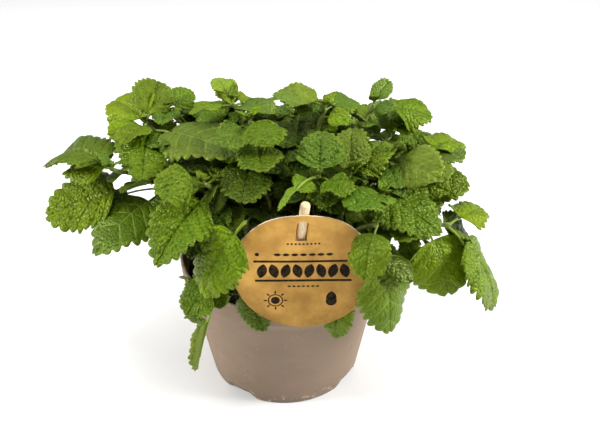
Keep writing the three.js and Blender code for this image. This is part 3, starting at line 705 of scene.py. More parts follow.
def pot_finish():
    """Matt recycled plastic: taupe, with faint pink and green clouds, dark specks, and pale
    scuffs along the foot and the rim."""
    f = Finish("recycled_taupe_plastic")
    place = f.place()
    _, _, height = f.split(place)
    cloud = f.noise(place, 22.0, 3.0, 0.6)
    tint = f.noise(place, 48.0, 2.0, 0.5)
    colour = f.mix(cloud.between(0.3, 0.7), (0.186, 0.128, 0.082), (0.216, 0.151, 0.099))
    colour = f.mix(tint.between(0.58, 0.75) * 0.25, colour, (0.300, 0.180, 0.122))
    colour = f.mix((1 - tint).between(0.60, 0.78) * 0.2, colour, (0.210, 0.195, 0.115))
    streak = f.noise(f.stretched(place, (30.0, 30.0, 160.0)), 1.0, 4.0, 0.6)
    colour = f.mix(streak.between(0.6, 0.75) * 0.08, colour, (0.350, 0.275, 0.205))

    speck_size = f.noise(place, 130.0, 1.0)
    specks = (1 - f.cells(place, 260.0).between(0.05, 0.16)) * speck_size.between(0.56, 0.62)
    colour = f.mix(specks * 0.8, colour, (0.045, 0.035, 0.030))
    light_specks = (1 - f.cells(place, 330.0).between(0.05, 0.18)) * (1 - speck_size).between(0.58, 0.64)
    colour = f.mix(light_specks * 0.5, colour, (0.60, 0.53, 0.46))

    patchy = f.noise(place, 210.0, 4.0, 0.75)
    foot = 1 - height.between(0.001, 0.010)
    scuffs = foot * patchy.between(0.55, 0.64)
    rim = height.between(0.0855, 0.0868) * patchy.between(0.42, 0.6)
    colour = f.mix((scuffs * 0.75).most(rim * 0.3), colour, (0.62, 0.57, 0.45))

    grain = f.noise(place, 1500.0, 3.0, 0.6)
    orange_peel = f.noise(place, 260.0, 2.0)
    normal = f.bump(grain * 0.35 + orange_peel * 0.65 - specks * 0.3, 0.00025, 0.5)
    roughness = 0.52 + 0.2 * patchy
    return f.done(f.surface({
        "Base Color": colour,
        "Roughness": roughness,
        "Normal": normal,
        "Specular IOR Level": 0.35,
    }))


def beech_finish():
    """Bare beech dowel: straight pale grain along the stick with short darker rays."""
    f = Finish("beech_dowel")
    place = f.place()
    grain = f.noise(f.stretched(place, (1400.0, 1400.0, 60.0)), 1.0, 4.0, 0.6)
    rays = f.cells(f.stretched(place, (1500.0, 1500.0, 220.0)), 1.0)
    colour = f.mix(grain.between(0.3, 0.7), (0.630, 0.450, 0.240), (0.850, 0.690, 0.440))
    colour = f.mix((1 - rays.between(0.06, 0.2)) * 0.45, colour, (0.330, 0.190, 0.090))
    normal = f.bump(grain, 0.0002, 0.5)
    return f.done(f.surface({"Base Color": colour, "Roughness": 0.62, "Normal": normal}))


class Print:
    """Black shapes on the card, given in millimetres from its centre: each adds to one mask."""

    def __init__(self, finish, x, z):
        self.finish = finish
        self.x = x
        self.z = z
        self.ink = None

    def add(self, distance):
        """Inks where the distance is below zero, with an edge 0.12 mm wide."""
        mask = 1 - distance.between(-0.06, 0.06)
        self.ink = mask if self.ink is None else self.ink.most(mask)

    def box(self, x, z, half_width, half_height):
        """A rectangle."""
        self.add((abs(self.x - x) - half_width).most(abs(self.z - z) - half_height))

    def round(self, x, z, radius, width=None):
        """A disc, or a ring of the given line width."""
        away = self.away(x, z, radius)
        self.add(away if width is None else abs(away) - width / 2)

    def leaf(self, x, z, angle, length, width):
        """A pointed leaf: where two discs overlap that meet at its two ends."""
        radius = (length * length + width * width) / (4 * width)
        off = radius - width / 2
        across = (math.cos(angle), math.sin(angle))
        self.add(self.away(x + across[0] * off, z + across[1] * off, radius).most(
            self.away(x - across[0] * off, z - across[1] * off, radius)))

    def away(self, x, z, radius):
        """How far outside a disc a place is."""
        return ((self.x - x) ** 2.0 + (self.z - z) ** 2.0) ** 0.5 - radius


def card_print(f, x, z):
    """Two rules with a row of leaves between them, dots, a small sun and a drop."""
    p = Print(f, x, z)
    for height, half_width in ((6.9, 26.0), (-5.5, 25.5)):
        p.box(0.0, height, half_width, 0.7)
    for k in range(8):
        p.leaf(-21.7 + 6.2 * k, 0.7, math.radians(14 if k % 2 else -14), 9.2, 5.2)
    for x_dot in (-24.0, 24.0):
        p.round(x_dot, 11.4, 1.15)
    for k in range(7):
        p.leaf(-13.5 + 4.5 * k, 11.4, math.radians(90), 3.9, 1.9)
    for k in range(9):
        p.box(-8.0 + 2.0 * k, 18.6, 0.55, 0.55)
    for k in range(7):
        p.leaf(-7.5 + 2.5 * k, -9.3, math.radians(90), 2.0, 1.1)
    p.round(-15.0, -18.6, 2.4)
    p.round(-15.0, -18.6, 3.8, 0.7)
    for k in range(8):
        angle = k * TAU / 8
        p.leaf(-15.0 + 5.4 * math.cos(angle), -18.6 + 5.4 * math.sin(angle),
               angle + math.pi / 2, 2.2, 1.0)
    p.leaf(15.0, -17.2, 0.0, 9.0, 5.6)
    p.round(15.0, -19.4, 3.0)
    return p.ink


def card_finish():
    """Kraft card: golden brown with long pale and dark fibres, mottling and black print on its
    front, painted light that makes it lighter towards its upper left, darker towards its rim,
    and a whitish cut edge."""
    f = Finish("kraft_card")
    place = f.place()
    x, y, z = f.split(place)
    x = (x - (CARD_CENTRE_X + POT_AXIS[0]) * MM) * 1000.0
    z = (z - CARD_CENTRE_Z * MM) * 1000.0
    cloud = f.noise(place, 55.0, 4.0, 0.6)
    colour = f.mix(cloud.between(0.3, 0.7), (0.500, 0.262, 0.058), (0.790, 0.448, 0.108))
    light_fibre = f.noise(f.stretched(place, (260.0, 900.0, 1100.0)), 1.0, 4.0, 0.7)
    dark_fibre = f.noise(f.stretched(place, (1200.0, 900.0, 240.0)), 1.0, 4.0, 0.7)
    colour = f.mix(light_fibre.between(0.6, 0.75) * 0.28, colour, (0.70, 0.48, 0.20))
    colour = f.mix(dark_fibre.between(0.6, 0.75) * 0.4, colour, (0.24, 0.120, 0.030))
    # Painted light: the card is lighter towards its upper left, where light falls on it, and darker
    # lower down; it is also darker towards its rim.
    upper_left = (z * 0.8 - x * 0.6).between(-8.0, 32.0)
    rim = ((x ** 2.0 + z ** 2.0) ** 0.5).between(28.0, 38.0)
    blotch = f.noise(place, 230.0, 4.0, 0.7)
    colour = f.shade(colour, 0.58 + 0.40 * upper_left - 0.14 * rim + 0.24 * blotch)
    flecks = (1 - f.cells(place, 700.0).between(0.06, 0.2)) * f.noise(place, 300.0).between(0.55, 0.62)
    colour = f.mix(flecks * 0.6, colour, (0.16, 0.08, 0.03))

    edge, _, _ = f.uv("edge")
    front, _, _ = f.uv("front")
    worn = f.noise(place, 500.0, 3.0).between(0.35, 0.7)
    ink = card_print(f, x, z) * front * (1 - 0.06 * worn)
    colour = f.mix(ink, colour, (0.006, 0.005, 0.004))
    colour = f.mix(edge, colour, (0.78, 0.72, 0.62))
    normal = f.bump(light_fibre + dark_fibre + cloud, 0.00012, 0.6)
    roughness = 0.8 + 0.1 * ink
    return f.done(f.surface({
        "Base Color": colour,
        "Roughness": roughness,
        "Normal": normal,
        "Specular IOR Level": 0.12,
    }))


def floor_finish():
    """Matt white, with the faintest clouds."""
    f = Finish("white_floor")
    cloud = f.noise(f.place(), 3.0)
    colour = f.mix(cloud, (0.74, 0.74, 0.74), (0.78, 0.78, 0.78))
    return f.done(f.surface({"Base Color": colour, "Roughness": 0.8}))


# ------------------------------------------------------------------ pot and soil


def arch_height(turn):
    """How high the foot ring is cut away at an angle: a flat-topped arch with slanted sides
    around each of the arches' own angles."""
    spread = TAU / ARCHES
    away = (turn - ARCH_FIRST_ANGLE + spread / 2) % spread - spread / 2
    return np.clip(ARCH_HALF_WIDTH - np.abs(POT_FOOT_RADIUS * np.sin(away)), 0, ARCH_HEIGHT)


def pot_rings(turn):
    """The pot's outline as rings of radius and height: from the middle of the underside over the
    foot ring, up the outer wall and its rim band, over the rounded lip and down inside."""
    arch = arch_height(turn)
    same = np.ones_like(turn)
    inside = POT_FOOT_RADIUS - POT_FOOT_RING
    rings = [(r * same, POT_UNDERSIDE * same) for r in (10, 20, 29, 39, inside - 1)]
    rings += [(inside * same, (POT_UNDERSIDE - 0.15) * same), ((inside + 0.15) * same, arch)]
    rings += [((POT_FOOT_RADIUS - 0.5) * same, arch), ((POT_FOOT_RADIUS - 0.1) * same, arch + 0.12)]
    for share in np.linspace(0, 1, 14):
        height = arch + 0.5 + share * (POT_BAND_BOTTOM - 0.5 - arch)
        rings.append((POT_FOOT_RADIUS + POT_SLOPE * height, height))
    band = [(62.3, 75.05), (63.3, 75.2), (63.9, 75.6), (64.1, 76.3), (64.5, 80.0), (64.9, 85.6),
            (64.75, 86.4), (64.3, 86.9), (63.7, 87.0), (63.1, 86.85), (62.75, 86.3), (62.6, 85.0),
            (62.6, 77.2), (62.2, 76.2), (60.9, 75.2)]
    rings += [(r * same, z * same) for r, z in band]
    for height in (70, 60, 45, 30, 15, POT_FLOOR + 1.2):
        rings.append(((POT_FOOT_RADIUS + POT_SLOPE * height - POT_WALL) * same, height * same))
    rings += [(r * same, POT_FLOOR * same) for r in (48.2, 39, 29, 20, 10)]
    return np.stack([r for r, _ in rings]), np.stack([z for _, z in rings])


def pot_piece():
    """The pot as a body of revolution, a little out of round, with its drainage holes cut out."""
    turn = angles(240)
    radius, height = pot_rings(turn)
    sway = 0.12 * np.sin(2 * turn + 0.6) + 0.06 * np.sin(5 * turn + 1.1)
    radius = radius + sway * height / POT_HEIGHT
    points, faces = revolve(radius, height, turn)
    pot = make_piece("nursery_pot", points, faces, pot_finish())
    level = np.array(DRAIN_HEIGHTS)[:, None] * np.ones(32)
    rod, rod_faces = revolve(np.full_like(level, DRAIN_RADIUS), level, angles(32))
    rods = []
    for k in range(ARCHES):
        angle = ARCH_FIRST_ANGLE + k * TAU / ARCHES
        away = DRAIN_CIRCLE * np.array([math.cos(angle), math.sin(angle), 0])
        rods.append((rod + away, rod_faces))
    cut_with(pot, *joined(rods))
    return pot


def cut_with(piece, points, faces):
    """Takes a body away from a piece for good, and leaves no modifier."""
    cutter = make_piece("cutter", points, faces, None)
    modifier = piece.modifiers.new("cut", "BOOLEAN")
    modifier.operation = "DIFFERENCE"
    modifier.object = cutter
    seen = piece.evaluated_get(bpy.context.evaluated_depsgraph_get())
    mesh = bpy.data.meshes.new_from_object(seen)
    piece.modifiers.clear()
    piece.data = mesh
    bpy.data.objects.remove(cutter)


def soil_piece(finish):
    """Peat filling the pot: rings up the side, then in over a lumpy top."""
    gap = POT_WALL + 0.25
    profile = [(20, 6.7)]
    for z in (6.7, 40.0, SOIL_EDGE - 3):
        profile.append((POT_FOOT_RADIUS + POT_SLOPE * z - gap, z))
    profile += [(r, SOIL_EDGE + (SOIL_TOP - SOIL_EDGE) * min(1, (60.2 - r) / 14.2))
                for r in np.linspace(60.0, 1.5, 40)]
    radius = np.array([r for r, _ in profile])[:, None] * np.ones(SOIL_SIDES)
    height = np.array([z for _, z in profile])[:, None] * np.ones(SOIL_SIDES)
    points, faces = revolve(radius, height, angles(SOIL_SIDES))
    top = points[:, 2] > SOIL_EDGE - 1
    lumps = waves(points, 9.0, 3) * 0.9 + waves(points, 3.5, 4) * 0.6
    points[:, 2] += np.where(top, lumps - 0.5, 0.0)
    return make_piece("peat_root_ball", points, faces, finish)


def crumbs_piece(finish):
    """Crumbs of peat strewn on the root ball: small knobbly balls, each a few dozen faces."""
    rng = np.random.default_rng(11)
    turn = angles(7)
    tilt = np.array([0.45, 1.0, 1.57, 2.2, 2.75])[:, None]
    crumbs = []
    for _ in range(CRUMBS):
        size = rng.uniform(0.6, 1.9)
        ball, faces = revolve(np.sin(tilt) * np.ones(7), np.cos(tilt) * -np.ones(7), turn)
        ball = ball * (1 + rng.uniform(-0.25, 0.25, len(ball)))[:, None]
        ball = ball * size * rng.uniform(0.7, 1.2, 3)
        reach = CRUMB_SPREAD * math.sqrt(rng.uniform(0.02, 1))
        angle = rng.uniform(0, TAU)
        level = SOIL_TOP - 3.0 * max(0, (reach - SOIL_FLAT_RADIUS) / 14) + size * 0.2
        crumbs.append((ball + [reach * math.cos(angle), reach * math.sin(angle), level], faces))
    points, faces = joined(crumbs)
    return make_piece("peat_crumbs", points, faces, finish)


# ------------------------------------------------------------------ label


def stick_axis(z):
    """The middle of the stick at a height."""
    above = np.asarray(z, float) - POT_HEIGHT
    xy = STICK_AT_RIM + STICK_LEAN * above[..., None]
    return np.concatenate([xy, np.asarray(z, float)[..., None]], axis=-1)


def stick_piece():
    """The dowel: straight, with both ends a little rounded over."""
    z = np.array([STICK_BOTTOM, STICK_BOTTOM + 0.2, STICK_BOTTOM + 0.9, 60, 90, 120, 150,
                  STICK_TOP - 0.9, STICK_TOP - 0.25, STICK_TOP])
    radius = STICK_RADIUS * np.array([0.72, 0.9, 1, 1, 1, 1, 1, 1, 0.92, 0.76])
    side = unit(np.array([1.0, 0.0, -STICK_LEAN[0]]))
    points, faces = tube(stick_axis(z), side, radius, sides=40)
    return make_piece("beech_stick", points, faces, beech_finish())


def slit_middle(z):
    """Where the middle of the stick crosses a height."""
    return STICK_AT_RIM[0] + STICK_LEAN[0] * (z - POT_HEIGHT)


def card_bow(x, z):
    """How far the card stands off its plane: forward over the stick above the upper slit, back
    behind it between the slits and slightly forward below, fading to both sides. Between the
    slits the card is also less far forward right beside the stick, which stands proud there."""
    aside = np.abs(x - slit_middle(z))
    rise = np.clip((z - CARD_CENTRE_Z) / (SLIT_UPPER - CARD_CENTRE_Z), 0, 1.15) ** 1.5
    share = np.clip((z - SLIT_LOWER) / (SLIT_UPPER - SLIT_LOWER), 0, 1)
    dimple = np.sin(math.pi * share) * np.exp(-((aside / DIMPLE_HALF_WIDTH) ** 2))
    over = -BOW_FORWARD * rise * np.exp(-((aside / BOW_HALF_WIDTH) ** 2))
    forward = over * (1 - DIMPLE_DEPTH * dimple)
    pocket = np.clip(1 - (aside / SLIT_HALF) ** 8, 0, 1)
    between = forward * (1 - pocket) + BOW_BEHIND_STICK * pocket
    bow = np.where((z > SLIT_LOWER) & (z <= SLIT_UPPER), between, forward)
    warp = 0.3 * np.sin((x - CARD_CENTRE_X) / 16) + 0.2 * np.sin((z - CARD_CENTRE_Z) / 13 + 1)
    return bow + warp


def card_rows():
    """The heights of the card's rows, with the two slits' heights twice: below and above each."""
    angle = np.linspace(0.05, math.pi - 0.05, 46)
    z = CARD_CENTRE_Z - CARD_RADIUS * np.cos(angle)
    z = z[(np.abs(z - SLIT_LOWER) > 0.6) & (np.abs(z - SLIT_UPPER) > 0.6)]
    return np.sort(np.concatenate([z, [SLIT_LOWER] * 2, [SLIT_UPPER] * 2]))


def card_front(z):
    """The card's front over its rows' heights: rows across a disc, each in three spans, the
    middle one as wide as the slits. Gives its points, and which rows are a slit's upper edge."""
    chord = np.sqrt(CARD_RADIUS**2 - (z - CARD_CENTRE_Z) ** 2)
    full = np.abs(z - CARD_CENTRE_Z) < CARD_FULL_ROWS
    off = np.where(full, slit_middle(z) - CARD_CENTRE_X, 0.0)
    half = np.minimum(SLIT_HALF, 0.4 * chord)
    beside = np.linspace(0, 1, CARD_SIDE_COLUMNS)
    middle = np.linspace(-1, 1, CARD_SLIT_COLUMNS + 2)[1:-1]
    start, stop = (off - half)[:, None], (off + half)[:, None]
    x = CARD_CENTRE_X + np.hstack([
        -chord[:, None] + beside * (start + chord[:, None]),
        off[:, None] + middle * half[:, None],
        stop + beside * (chord[:, None] - stop),
    ])
    upper_edge = np.zeros(len(z), bool)
    upper_edge[1:] = np.diff(z) == 0
    lower_edge = np.roll(upper_edge, -1)
    height = z[:, None] + np.where(upper_edge[:, None], 1e-4, 0.0) * np.ones(x.shape[1])
    height = height - np.where(lower_edge[:, None], 1e-4, 0.0)
    aside = (x - slit_middle(z)[:, None]) / SLIT_HALF
    arch = SLIT_ARCH * np.clip(1 - aside**2, 0, 1) * np.exp(-(((z - SLIT_UPPER) / 4) ** 2))[:, None]
    y = CARD_Y + card_bow(x, height) - CARD_THICKNESS / 2
    return np.stack([x, y, z[:, None] + arch], axis=-1), upper_edge


def card_piece():
    """The card: its front, its back and its cut edge, which has points of its own. Two rows share
    a slit's height; they are one row beside the slit and part across it."""
    front, upper_edge = card_front(card_rows())
    back = front + [0, CARD_THICKNESS, 0]
    rows, columns = front.shape[:2]
    index = np.arange(rows * columns).reshape(rows, columns)
    outside = np.r_[:CARD_SIDE_COLUMNS, CARD_SIDE_COLUMNS + CARD_SLIT_COLUMNS:columns]
    for row in np.flatnonzero(upper_edge):
        index[row, outside] = index[row - 1, outside]
    near, far = index[:-1][~upper_edge[1:]], index[1:][~upper_edge[1:]]
    quads = np.stack([near[:, :-1], near[:, 1:], far[:, 1:], far[:, :-1]], axis=-1).reshape(-1, 4)
    below = rows * columns
    edges = card_edges(quads)
    rim = np.stack([edges[:, 1], edges[:, 0], edges[:, 0] + below, edges[:, 1] + below], axis=-1)
    points = np.concatenate([layer.reshape(-1, 3) for layer in (front, back, front, back)])

    edge = np.zeros((len(points), 2))
    edge[2 * below:] = 1
    from_centre = np.hypot(points[:, 0] - CARD_CENTRE_X, points[:, 2] - CARD_CENTRE_Z)
    edge[from_centre < CARD_RADIUS - 1] *= 0.3
    face = np.zeros((len(points), 2))
    face[:below] = 1
    points, faces, maps = used_only(
        points, [quads, quads[:, ::-1] + below, rim + 2 * below], {"edge": edge, "front": face})
    card = make_piece("round_card", points, faces, card_finish(), maps)
    weld(card)
    return card


def card_edges(quads):
    """The directed edges that only one of the quads has."""
    edges = np.concatenate([quads[:, [k, (k + 1) % 4]] for k in range(4)])
    keys = edges.min(axis=1) * (quads.max() + 1) + edges.max(axis=1)
    _, first, counts = np.unique(keys, return_index=True, return_counts=True)
    return edges[first[counts == 1]]


def used_only(points, faces, maps):
    """Leaves out the points that no face has."""
    used = np.unique(np.concatenate([group.ravel() for group in faces]))
    new = np.zeros(len(points), int)
    new[used] = np.arange(len(used))
    return points[used], [new[group] for group in faces], {k: v[used] for k, v in maps.items()}


def weld(piece):
    """Merges the piece's doubled points. Its UV maps stay, because they belong to the corners."""
    mesh = bmesh.new()
    mesh.from_mesh(piece.data)
    bmesh.ops.remove_doubles(mesh, verts=mesh.verts, dist=1e-6)
    mesh.to_mesh(piece.data)
    mesh.free()


# ------------------------------------------------------------------ stems


class Stem:
    """A stem's middle line: a quadratic curve that rises from its foot and leans out to its end."""

    def __init__(self, foot, end):
        self.start = np.array([*foot, STEM_FOOT], float)
        self.end = np.array(end, float)
        self.control = self.start + (self.end - self.start) * [0.25, 0.25, 0.75]

    def at(self, height):
        """The place at a share of the way, or at each of several."""
        h = np.asarray(height, float)[..., None]
        return (1 - h) ** 2 * self.start + 2 * h * (1 - h) * self.control + h**2 * self.end

    def direction(self, height):
        """The way that the stem runs there."""
        h = np.asarray(height, float)[..., None]
        return unit((1 - h) * (self.control - self.start) + h * (self.end - self.control))

    def side(self):
        """The level direction across the upright plane that the stem leans in."""
        way = self.end - self.start
        return unit(np.array([-way[1], way[0], 0.0]))


STEMS = {
    stem: Stem(foot, end)
    for foot, ends in PLANTLETS.values()
    for stem, end in ends.items()
}
STEMS.update({stem: Stem(foot, end) for stem, (foot, end) in SHOOTS.items()})


def stem_tube(stem, leaf_heights, rings=60, sides=16):
    """A four-cornered stem, thinner towards its end and thicker where leaves stand."""
    height = np.linspace(-0.03, 1.0, rings)
    radius = STEM_RADIUS * (1.12 - 0.35 * height)
    for leaf_height in leaf_heights:
        radius = radius * (1 + NODE_SWELL * np.exp(-(((height - leaf_height) / NODE_LENGTH) ** 2)))
    radius[-1] *= 0.6
    return tube(stem.at(height), stem.side(), radius, sides, STEM_CORNERS)


def plantlet_piece(name, stems, finish):
    """All the stems of one root."""
    tubes = []
    for stem in stems:
        heights = [height for _, carrier, height, *_ in LEAVES if carrier == stem]
        tubes.append(stem_tube(STEMS[stem], heights))
    points, faces = joined(tubes)
    return make_piece(name.replace("plantlet", "stems"), points, faces, finish)


# ------------------------------------------------------------------ leaves


class Midrib:
    """The arc that a leaf follows from its stem to its tip: it leaves the stem steeper than the
    straight way there, and bends down evenly by a given angle."""

    def __init__(self, stem, height, tip, bend):
        self.node = stem.at(height)
        self.turning = math.radians(bend)
        tip = np.array(tip, float)
        out = self.first_direction(tip - self.node)
        self.base = self.node + out * stand_off(out, stem.direction(height), height)
        chord = tip - self.base
        size = np.linalg.norm(chord)
        self.length = size * self.turning / 2 / math.sin(self.turning / 2)
        self.start_slope = math.atan2(chord[2], math.hypot(chord[0], chord[1])) + self.turning / 2
        self.heading = unit(np.array([chord[0], chord[1], 0.0]))
        self.side = np.array([-self.heading[1], self.heading[0], 0.0])

    def first_direction(self, way):
        """The direction in which a leaf starts whose tip lies that way from its stem."""
        slope = math.atan2(way[2], math.hypot(way[0], way[1])) + self.turning / 2
        level = unit(np.array([way[0], way[1], 0.0]))
        return level * math.cos(slope) + np.array([0, 0, math.sin(slope)])

    def frame(self, share, roll):
        """The place at a share of the arc, and the directions across and up from the blade."""
        slope = self.start_slope - self.turning * share
        radius = self.length / self.turning
        reach = radius * (math.sin(self.start_slope) - np.sin(slope))
        climb = radius * (np.cos(slope) - math.cos(self.start_slope))
        level = np.array([0, 0, 1.0])
        place = self.base + self.heading * reach[..., None] + level * climb[..., None]
        normal = level * np.cos(slope)[..., None] - self.heading * np.sin(slope)[..., None]
        c, s = np.cos(roll)[..., None], np.sin(roll)[..., None]
        return place, self.side * c + normal * s, normal * c - self.side * s


def stand_off(out, along_stem, height):
    """How far along its own direction a petiole starts from the middle of its stem: where it
    comes clear of the stem's side, or at the stem's end, of its end."""
    cosine = float(out @ along_stem)
    sine = math.sqrt(1 - cosine**2)
    flank = (STEM_SURFACE + PETIOLE_GAP + PETIOLE_RADIUS * abs(cosine)) / sine
    if height < 1 or cosine <= 0:
        return flank
    return max(min(flank, (PETIOLE_GAP + PETIOLE_RADIUS * sine) / cosine), PETIOLE_LEAST_START)


def outline(along, fullness):
    """Half the blade's width along its length, as a share of its widest: it rises steeply from
    the base to a third of the length and falls to the tip, fuller for a smaller exponent."""
    rise = (3 * along) ** 0.5
    return (rise * (1 - along) * 1.5) ** fullness


def vein_plan(row, across, length, width, fullness):
    """Where a place on the blade lies when it is flat, as a share of its length and in
    millimetres to the side. Rows run along side veins, which leave the midrib behind the place
    where they reach the margin and curve forward on their way."""
    margin = row**1.2 * 0.99
    half = np.maximum(width / 2 * outline(margin, fullness), 0.7)
    sweep = half / length * (0.15 + 0.85 * margin**0.7)
    origin = margin - sweep
    origin = 0.5 * (origin + np.sqrt(origin**2 + 4e-4))
    return origin + (margin - origin) * np.abs(across) ** 1.25, half * across


def teeth(row, across, length, rng):
    """How far the margin stands out: rounded teeth of uneven sizes with narrow notches, which
    lean forward, fading out inwards."""
    step = row * TEETH + 0.6
    sizes = rng.uniform(0.7, 1.2, (2, TEETH + 2))
    uneven = np.where(across > 0, sizes[0][step.astype(int)], sizes[1][step.astype(int)])
    tooth = np.sin(math.pi * (step % 1) ** 1.2) ** 0.6
    ends = np.clip(row / 0.05, 0.2, 1) * np.clip((1.02 - row) / 0.16, 0.25, 1)
    return TOOTH_DEPTH * length * uneven * tooth * np.abs(across) ** 4 * ends


def puckers(row, across, length, width, fullness, rng):
    """Swellings from 0 at the net veins to 1 between them: round domes about the nearest of a
    set of centres, which stand in uneven rows between neighbouring side veins."""
    lane = (np.arange(2 * SIDE_VEINS + 2) + 0.5) / 2 - VEIN_SHIFT
    lane_rows = np.repeat(lane / SIDE_VEINS, len(PUCKER_STEPS) * 2)
    steps = np.tile(np.concatenate([PUCKER_STEPS, -PUCKER_STEPS]), len(lane))
    lane_rows = np.clip(lane_rows + rng.uniform(-0.025, 0.025, lane_rows.shape), 0, 1)
    steps = steps + rng.uniform(-0.08, 0.08, steps.shape)
    centre_along, centre_aside = vein_plan(lane_rows, steps, length, width, fullness)
    along, aside = vein_plan(row, across, length, width, fullness)
    away = np.hypot((along[..., None] - centre_along) * length, aside[..., None] - centre_aside)
    return np.clip(1 - (away.min(axis=-1) / (PUCKER_RADIUS * length)) ** 2, 0, 1)


def blade_relief(row, across, reach, length, width, pucker, puff, rng):
    """How far the blade stands above its plane in millimetres: its puckers, furrows at the side
    veins and the midrib, margins that curve down, and slow waves along the margins. Reach is the
    distance from the midrib as a share of the blade's half width at its widest."""
    aside = np.abs(across)
    vein = np.abs(np.sin(math.pi * (row * SIDE_VEINS + VEIN_SHIFT)))
    inner = np.clip(aside / 0.10, 0, 1)
    outer = 1 - 0.4 * np.clip((aside - 0.85) / 0.15, 0, 1)
    phase = rng.uniform(0, TAU, 4)
    wave = np.where(across > 0, np.sin(row * 11 + phase[0]), np.sin(row * 12 + phase[1]))
    slow = np.where(across > 0, np.sin(row * 5 + phase[2]), np.sin(row * 5.5 + phase[3]))
    relief = (0.45 * puff + 0.55 * vein**0.8) * inner * outer - MIDRIB_FURROW * (1 - inner)
    edge = reach * (0.045 * wave * aside**2 + 0.08 * slow * aside)
    droop = rng.uniform(0.08, 0.20) * reach**2
    return pucker * length / BLADE_USUAL_LENGTH * relief + width * (edge - droop)


def leaf_parts(row_of_leaf, rows, columns, seed):
    """A leaf's points, faces and UV maps: the blade as a thin closed sheet, and a petiole that
    runs on under it as its midrib."""
    _, stem, height, tip, petiole, width, bend, turn, tone, grey, fold, pucker = row_of_leaf
    rng = np.random.default_rng(seed)
    midrib = Midrib(STEMS[stem], height, tip, bend)
    length = midrib.length - petiole
    start = petiole / midrib.length
    row = np.linspace(0, 1, rows)[:, None] * np.ones(columns)
    across = np.ones((rows, 1)) * np.linspace(-1, 1, columns)
    fullness, sway = rng.uniform(0.66, 0.84), rng.uniform(-0.07, 0.07) * length
    along, aside = vein_plan(row, across, length, width, fullness)
    tooth = teeth(row, across, length, rng)
    along = along + TOOTH_FORWARD * tooth / length
    aside = aside + TOOTH_OUTWARD * tooth * np.sign(across)
    puff = puckers(row, across, length, width, fullness, rng)
    reach = np.abs(aside) * 2 / width
    lift = blade_relief(row, across, reach, length, width, pucker, puff, rng)
    folding = math.radians(fold + rng.uniform(6, 20))
    lift = lift + np.abs(aside) * math.sin(folding)
    twist = math.radians(rng.uniform(-12, 12))
    share = start + along * (1 - start)
    place, sideways, up = midrib.frame(share, math.radians(turn) + twist * (along - 0.4))
    off = aside * math.cos(folding) + sway * along**2
    middle = place + sideways * off[..., None] + up * lift[..., None]
    normal = unit(np.cross(np.gradient(middle, axis=0), np.gradient(middle, axis=1)))
    top = (middle + normal * BLADE_THICKNESS / 2).reshape(-1, 3)
    bottom = (middle - normal * BLADE_THICKNESS / 2).reshape(-1, 3)

    furrow = MIDRIB_FURROW * pucker * length / BLADE_USUAL_LENGTH
    rib, rib_faces = leaf_rib(midrib, start, turn, sway, furrow, 8 if rows > 40 else 5)
    points, faces = joined([(np.concatenate([top, bottom]), sheet_faces(rows, columns)),
                            (rib, rib_faces)])
    blade = np.stack([row, across], axis=-1).reshape(-1, 2)
    flat = np.stack([along * length / 10 + seed * 1.7, aside / 10 + seed * 0.9], axis=-1)
    bare = np.zeros((len(rib), 2)) + seed
    flat = flat.reshape(-1, 2)
    maps = leaf_maps(blade, np.concatenate([flat, flat, bare]), puff.ravel(), (tone, grey), pucker)
    return points, faces, maps


def leaf_maps(blade, flat, puff, tone, kind):
    """The UV maps of a leaf's upper face, lower face and rib, one after the other: where each
    point is on the blade, where that lies in the flat in centimetres, the leaf's tone and
    greyness, which side the point is on (0 above, 1 below) with how far it is up its pucker, and
    the leaf's own puckering."""
    bare = np.zeros((len(flat) - 2 * len(blade), 2))
    return {
        "blade": np.concatenate([blade, blade, bare]),
        "flat": flat,
        "tone": np.tile(tone, (len(flat), 1)),
        "side": np.concatenate([
            np.stack([np.zeros(len(puff)), puff], axis=-1),
            np.stack([np.ones(len(puff)), puff], axis=-1),
            bare + [0.35, 0.5],
        ]),
        "kind": np.tile([kind, 0], (len(flat), 1)),
    }


def leaf_rib(midrib, start, turn, sway, furrow, sides):
    """The petiole from the stem to the blade, and on under the midrib's furrow, thinning out."""
    onward = np.linspace(0, 0.72, 9)
    shares = np.concatenate([np.linspace(0, start, 5)[:-1], start + (1 - start) * onward])
    slim = min(1.0, 0.35 + midrib.length / 70)
    thick = slim * np.concatenate([[0.95, 0.8, 0.72, 0.72], 0.72 - 0.6 * onward])
    place, sideways, up = midrib.frame(shares, np.full(len(shares), math.radians(turn)))
    sunk = np.concatenate([[0, 0, 0, 0.3], np.ones(9)])
    off = sway * np.concatenate([np.zeros(4), onward]) ** 2
    place = place - up * (sunk * (furrow + 0.85 * thick))[:, None] + sideways * off[:, None]
    path = np.concatenate([midrib.node[None], place])
    return tube(path, midrib.side, np.concatenate([thick[:1], thick]), sides)


def leaf_piece(row_of_leaf, seed, finish):
    """A large leaf, which stands for its node."""
    points, faces, maps = leaf_parts(row_of_leaf, *LARGE_GRID, seed)
    piece = make_piece("blade_" + row_of_leaf[0], points, faces, finish, maps)
    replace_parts(piece, "leaf_" + row_of_leaf[0])
    return piece


def leaves_piece(name, rows, grid, seed, finish):
    """Many leaves as one piece, each with the given rows and columns. Gives their points."""
    parts = [leaf_parts(row, *grid, seed + k) for k, row in enumerate(rows)]
    points, faces = joined([(p, f) for p, f, _ in parts])
    maps = {key: np.concatenate([m[key] for _, _, m in parts]) for key in parts[0][2]}
    make_piece(name, points, faces, finish, maps)
    return points


def sample_of(points):
    """A few hundred of a large leaf's points."""
    return points[:: max(1, len(points) // 240)]


def crown_top(x, y):
    """The height of the crown's domed top over a place."""
    return CROWN_TOP - CROWN_FALL[0] * x * x - CROWN_FALL[1] * y * y


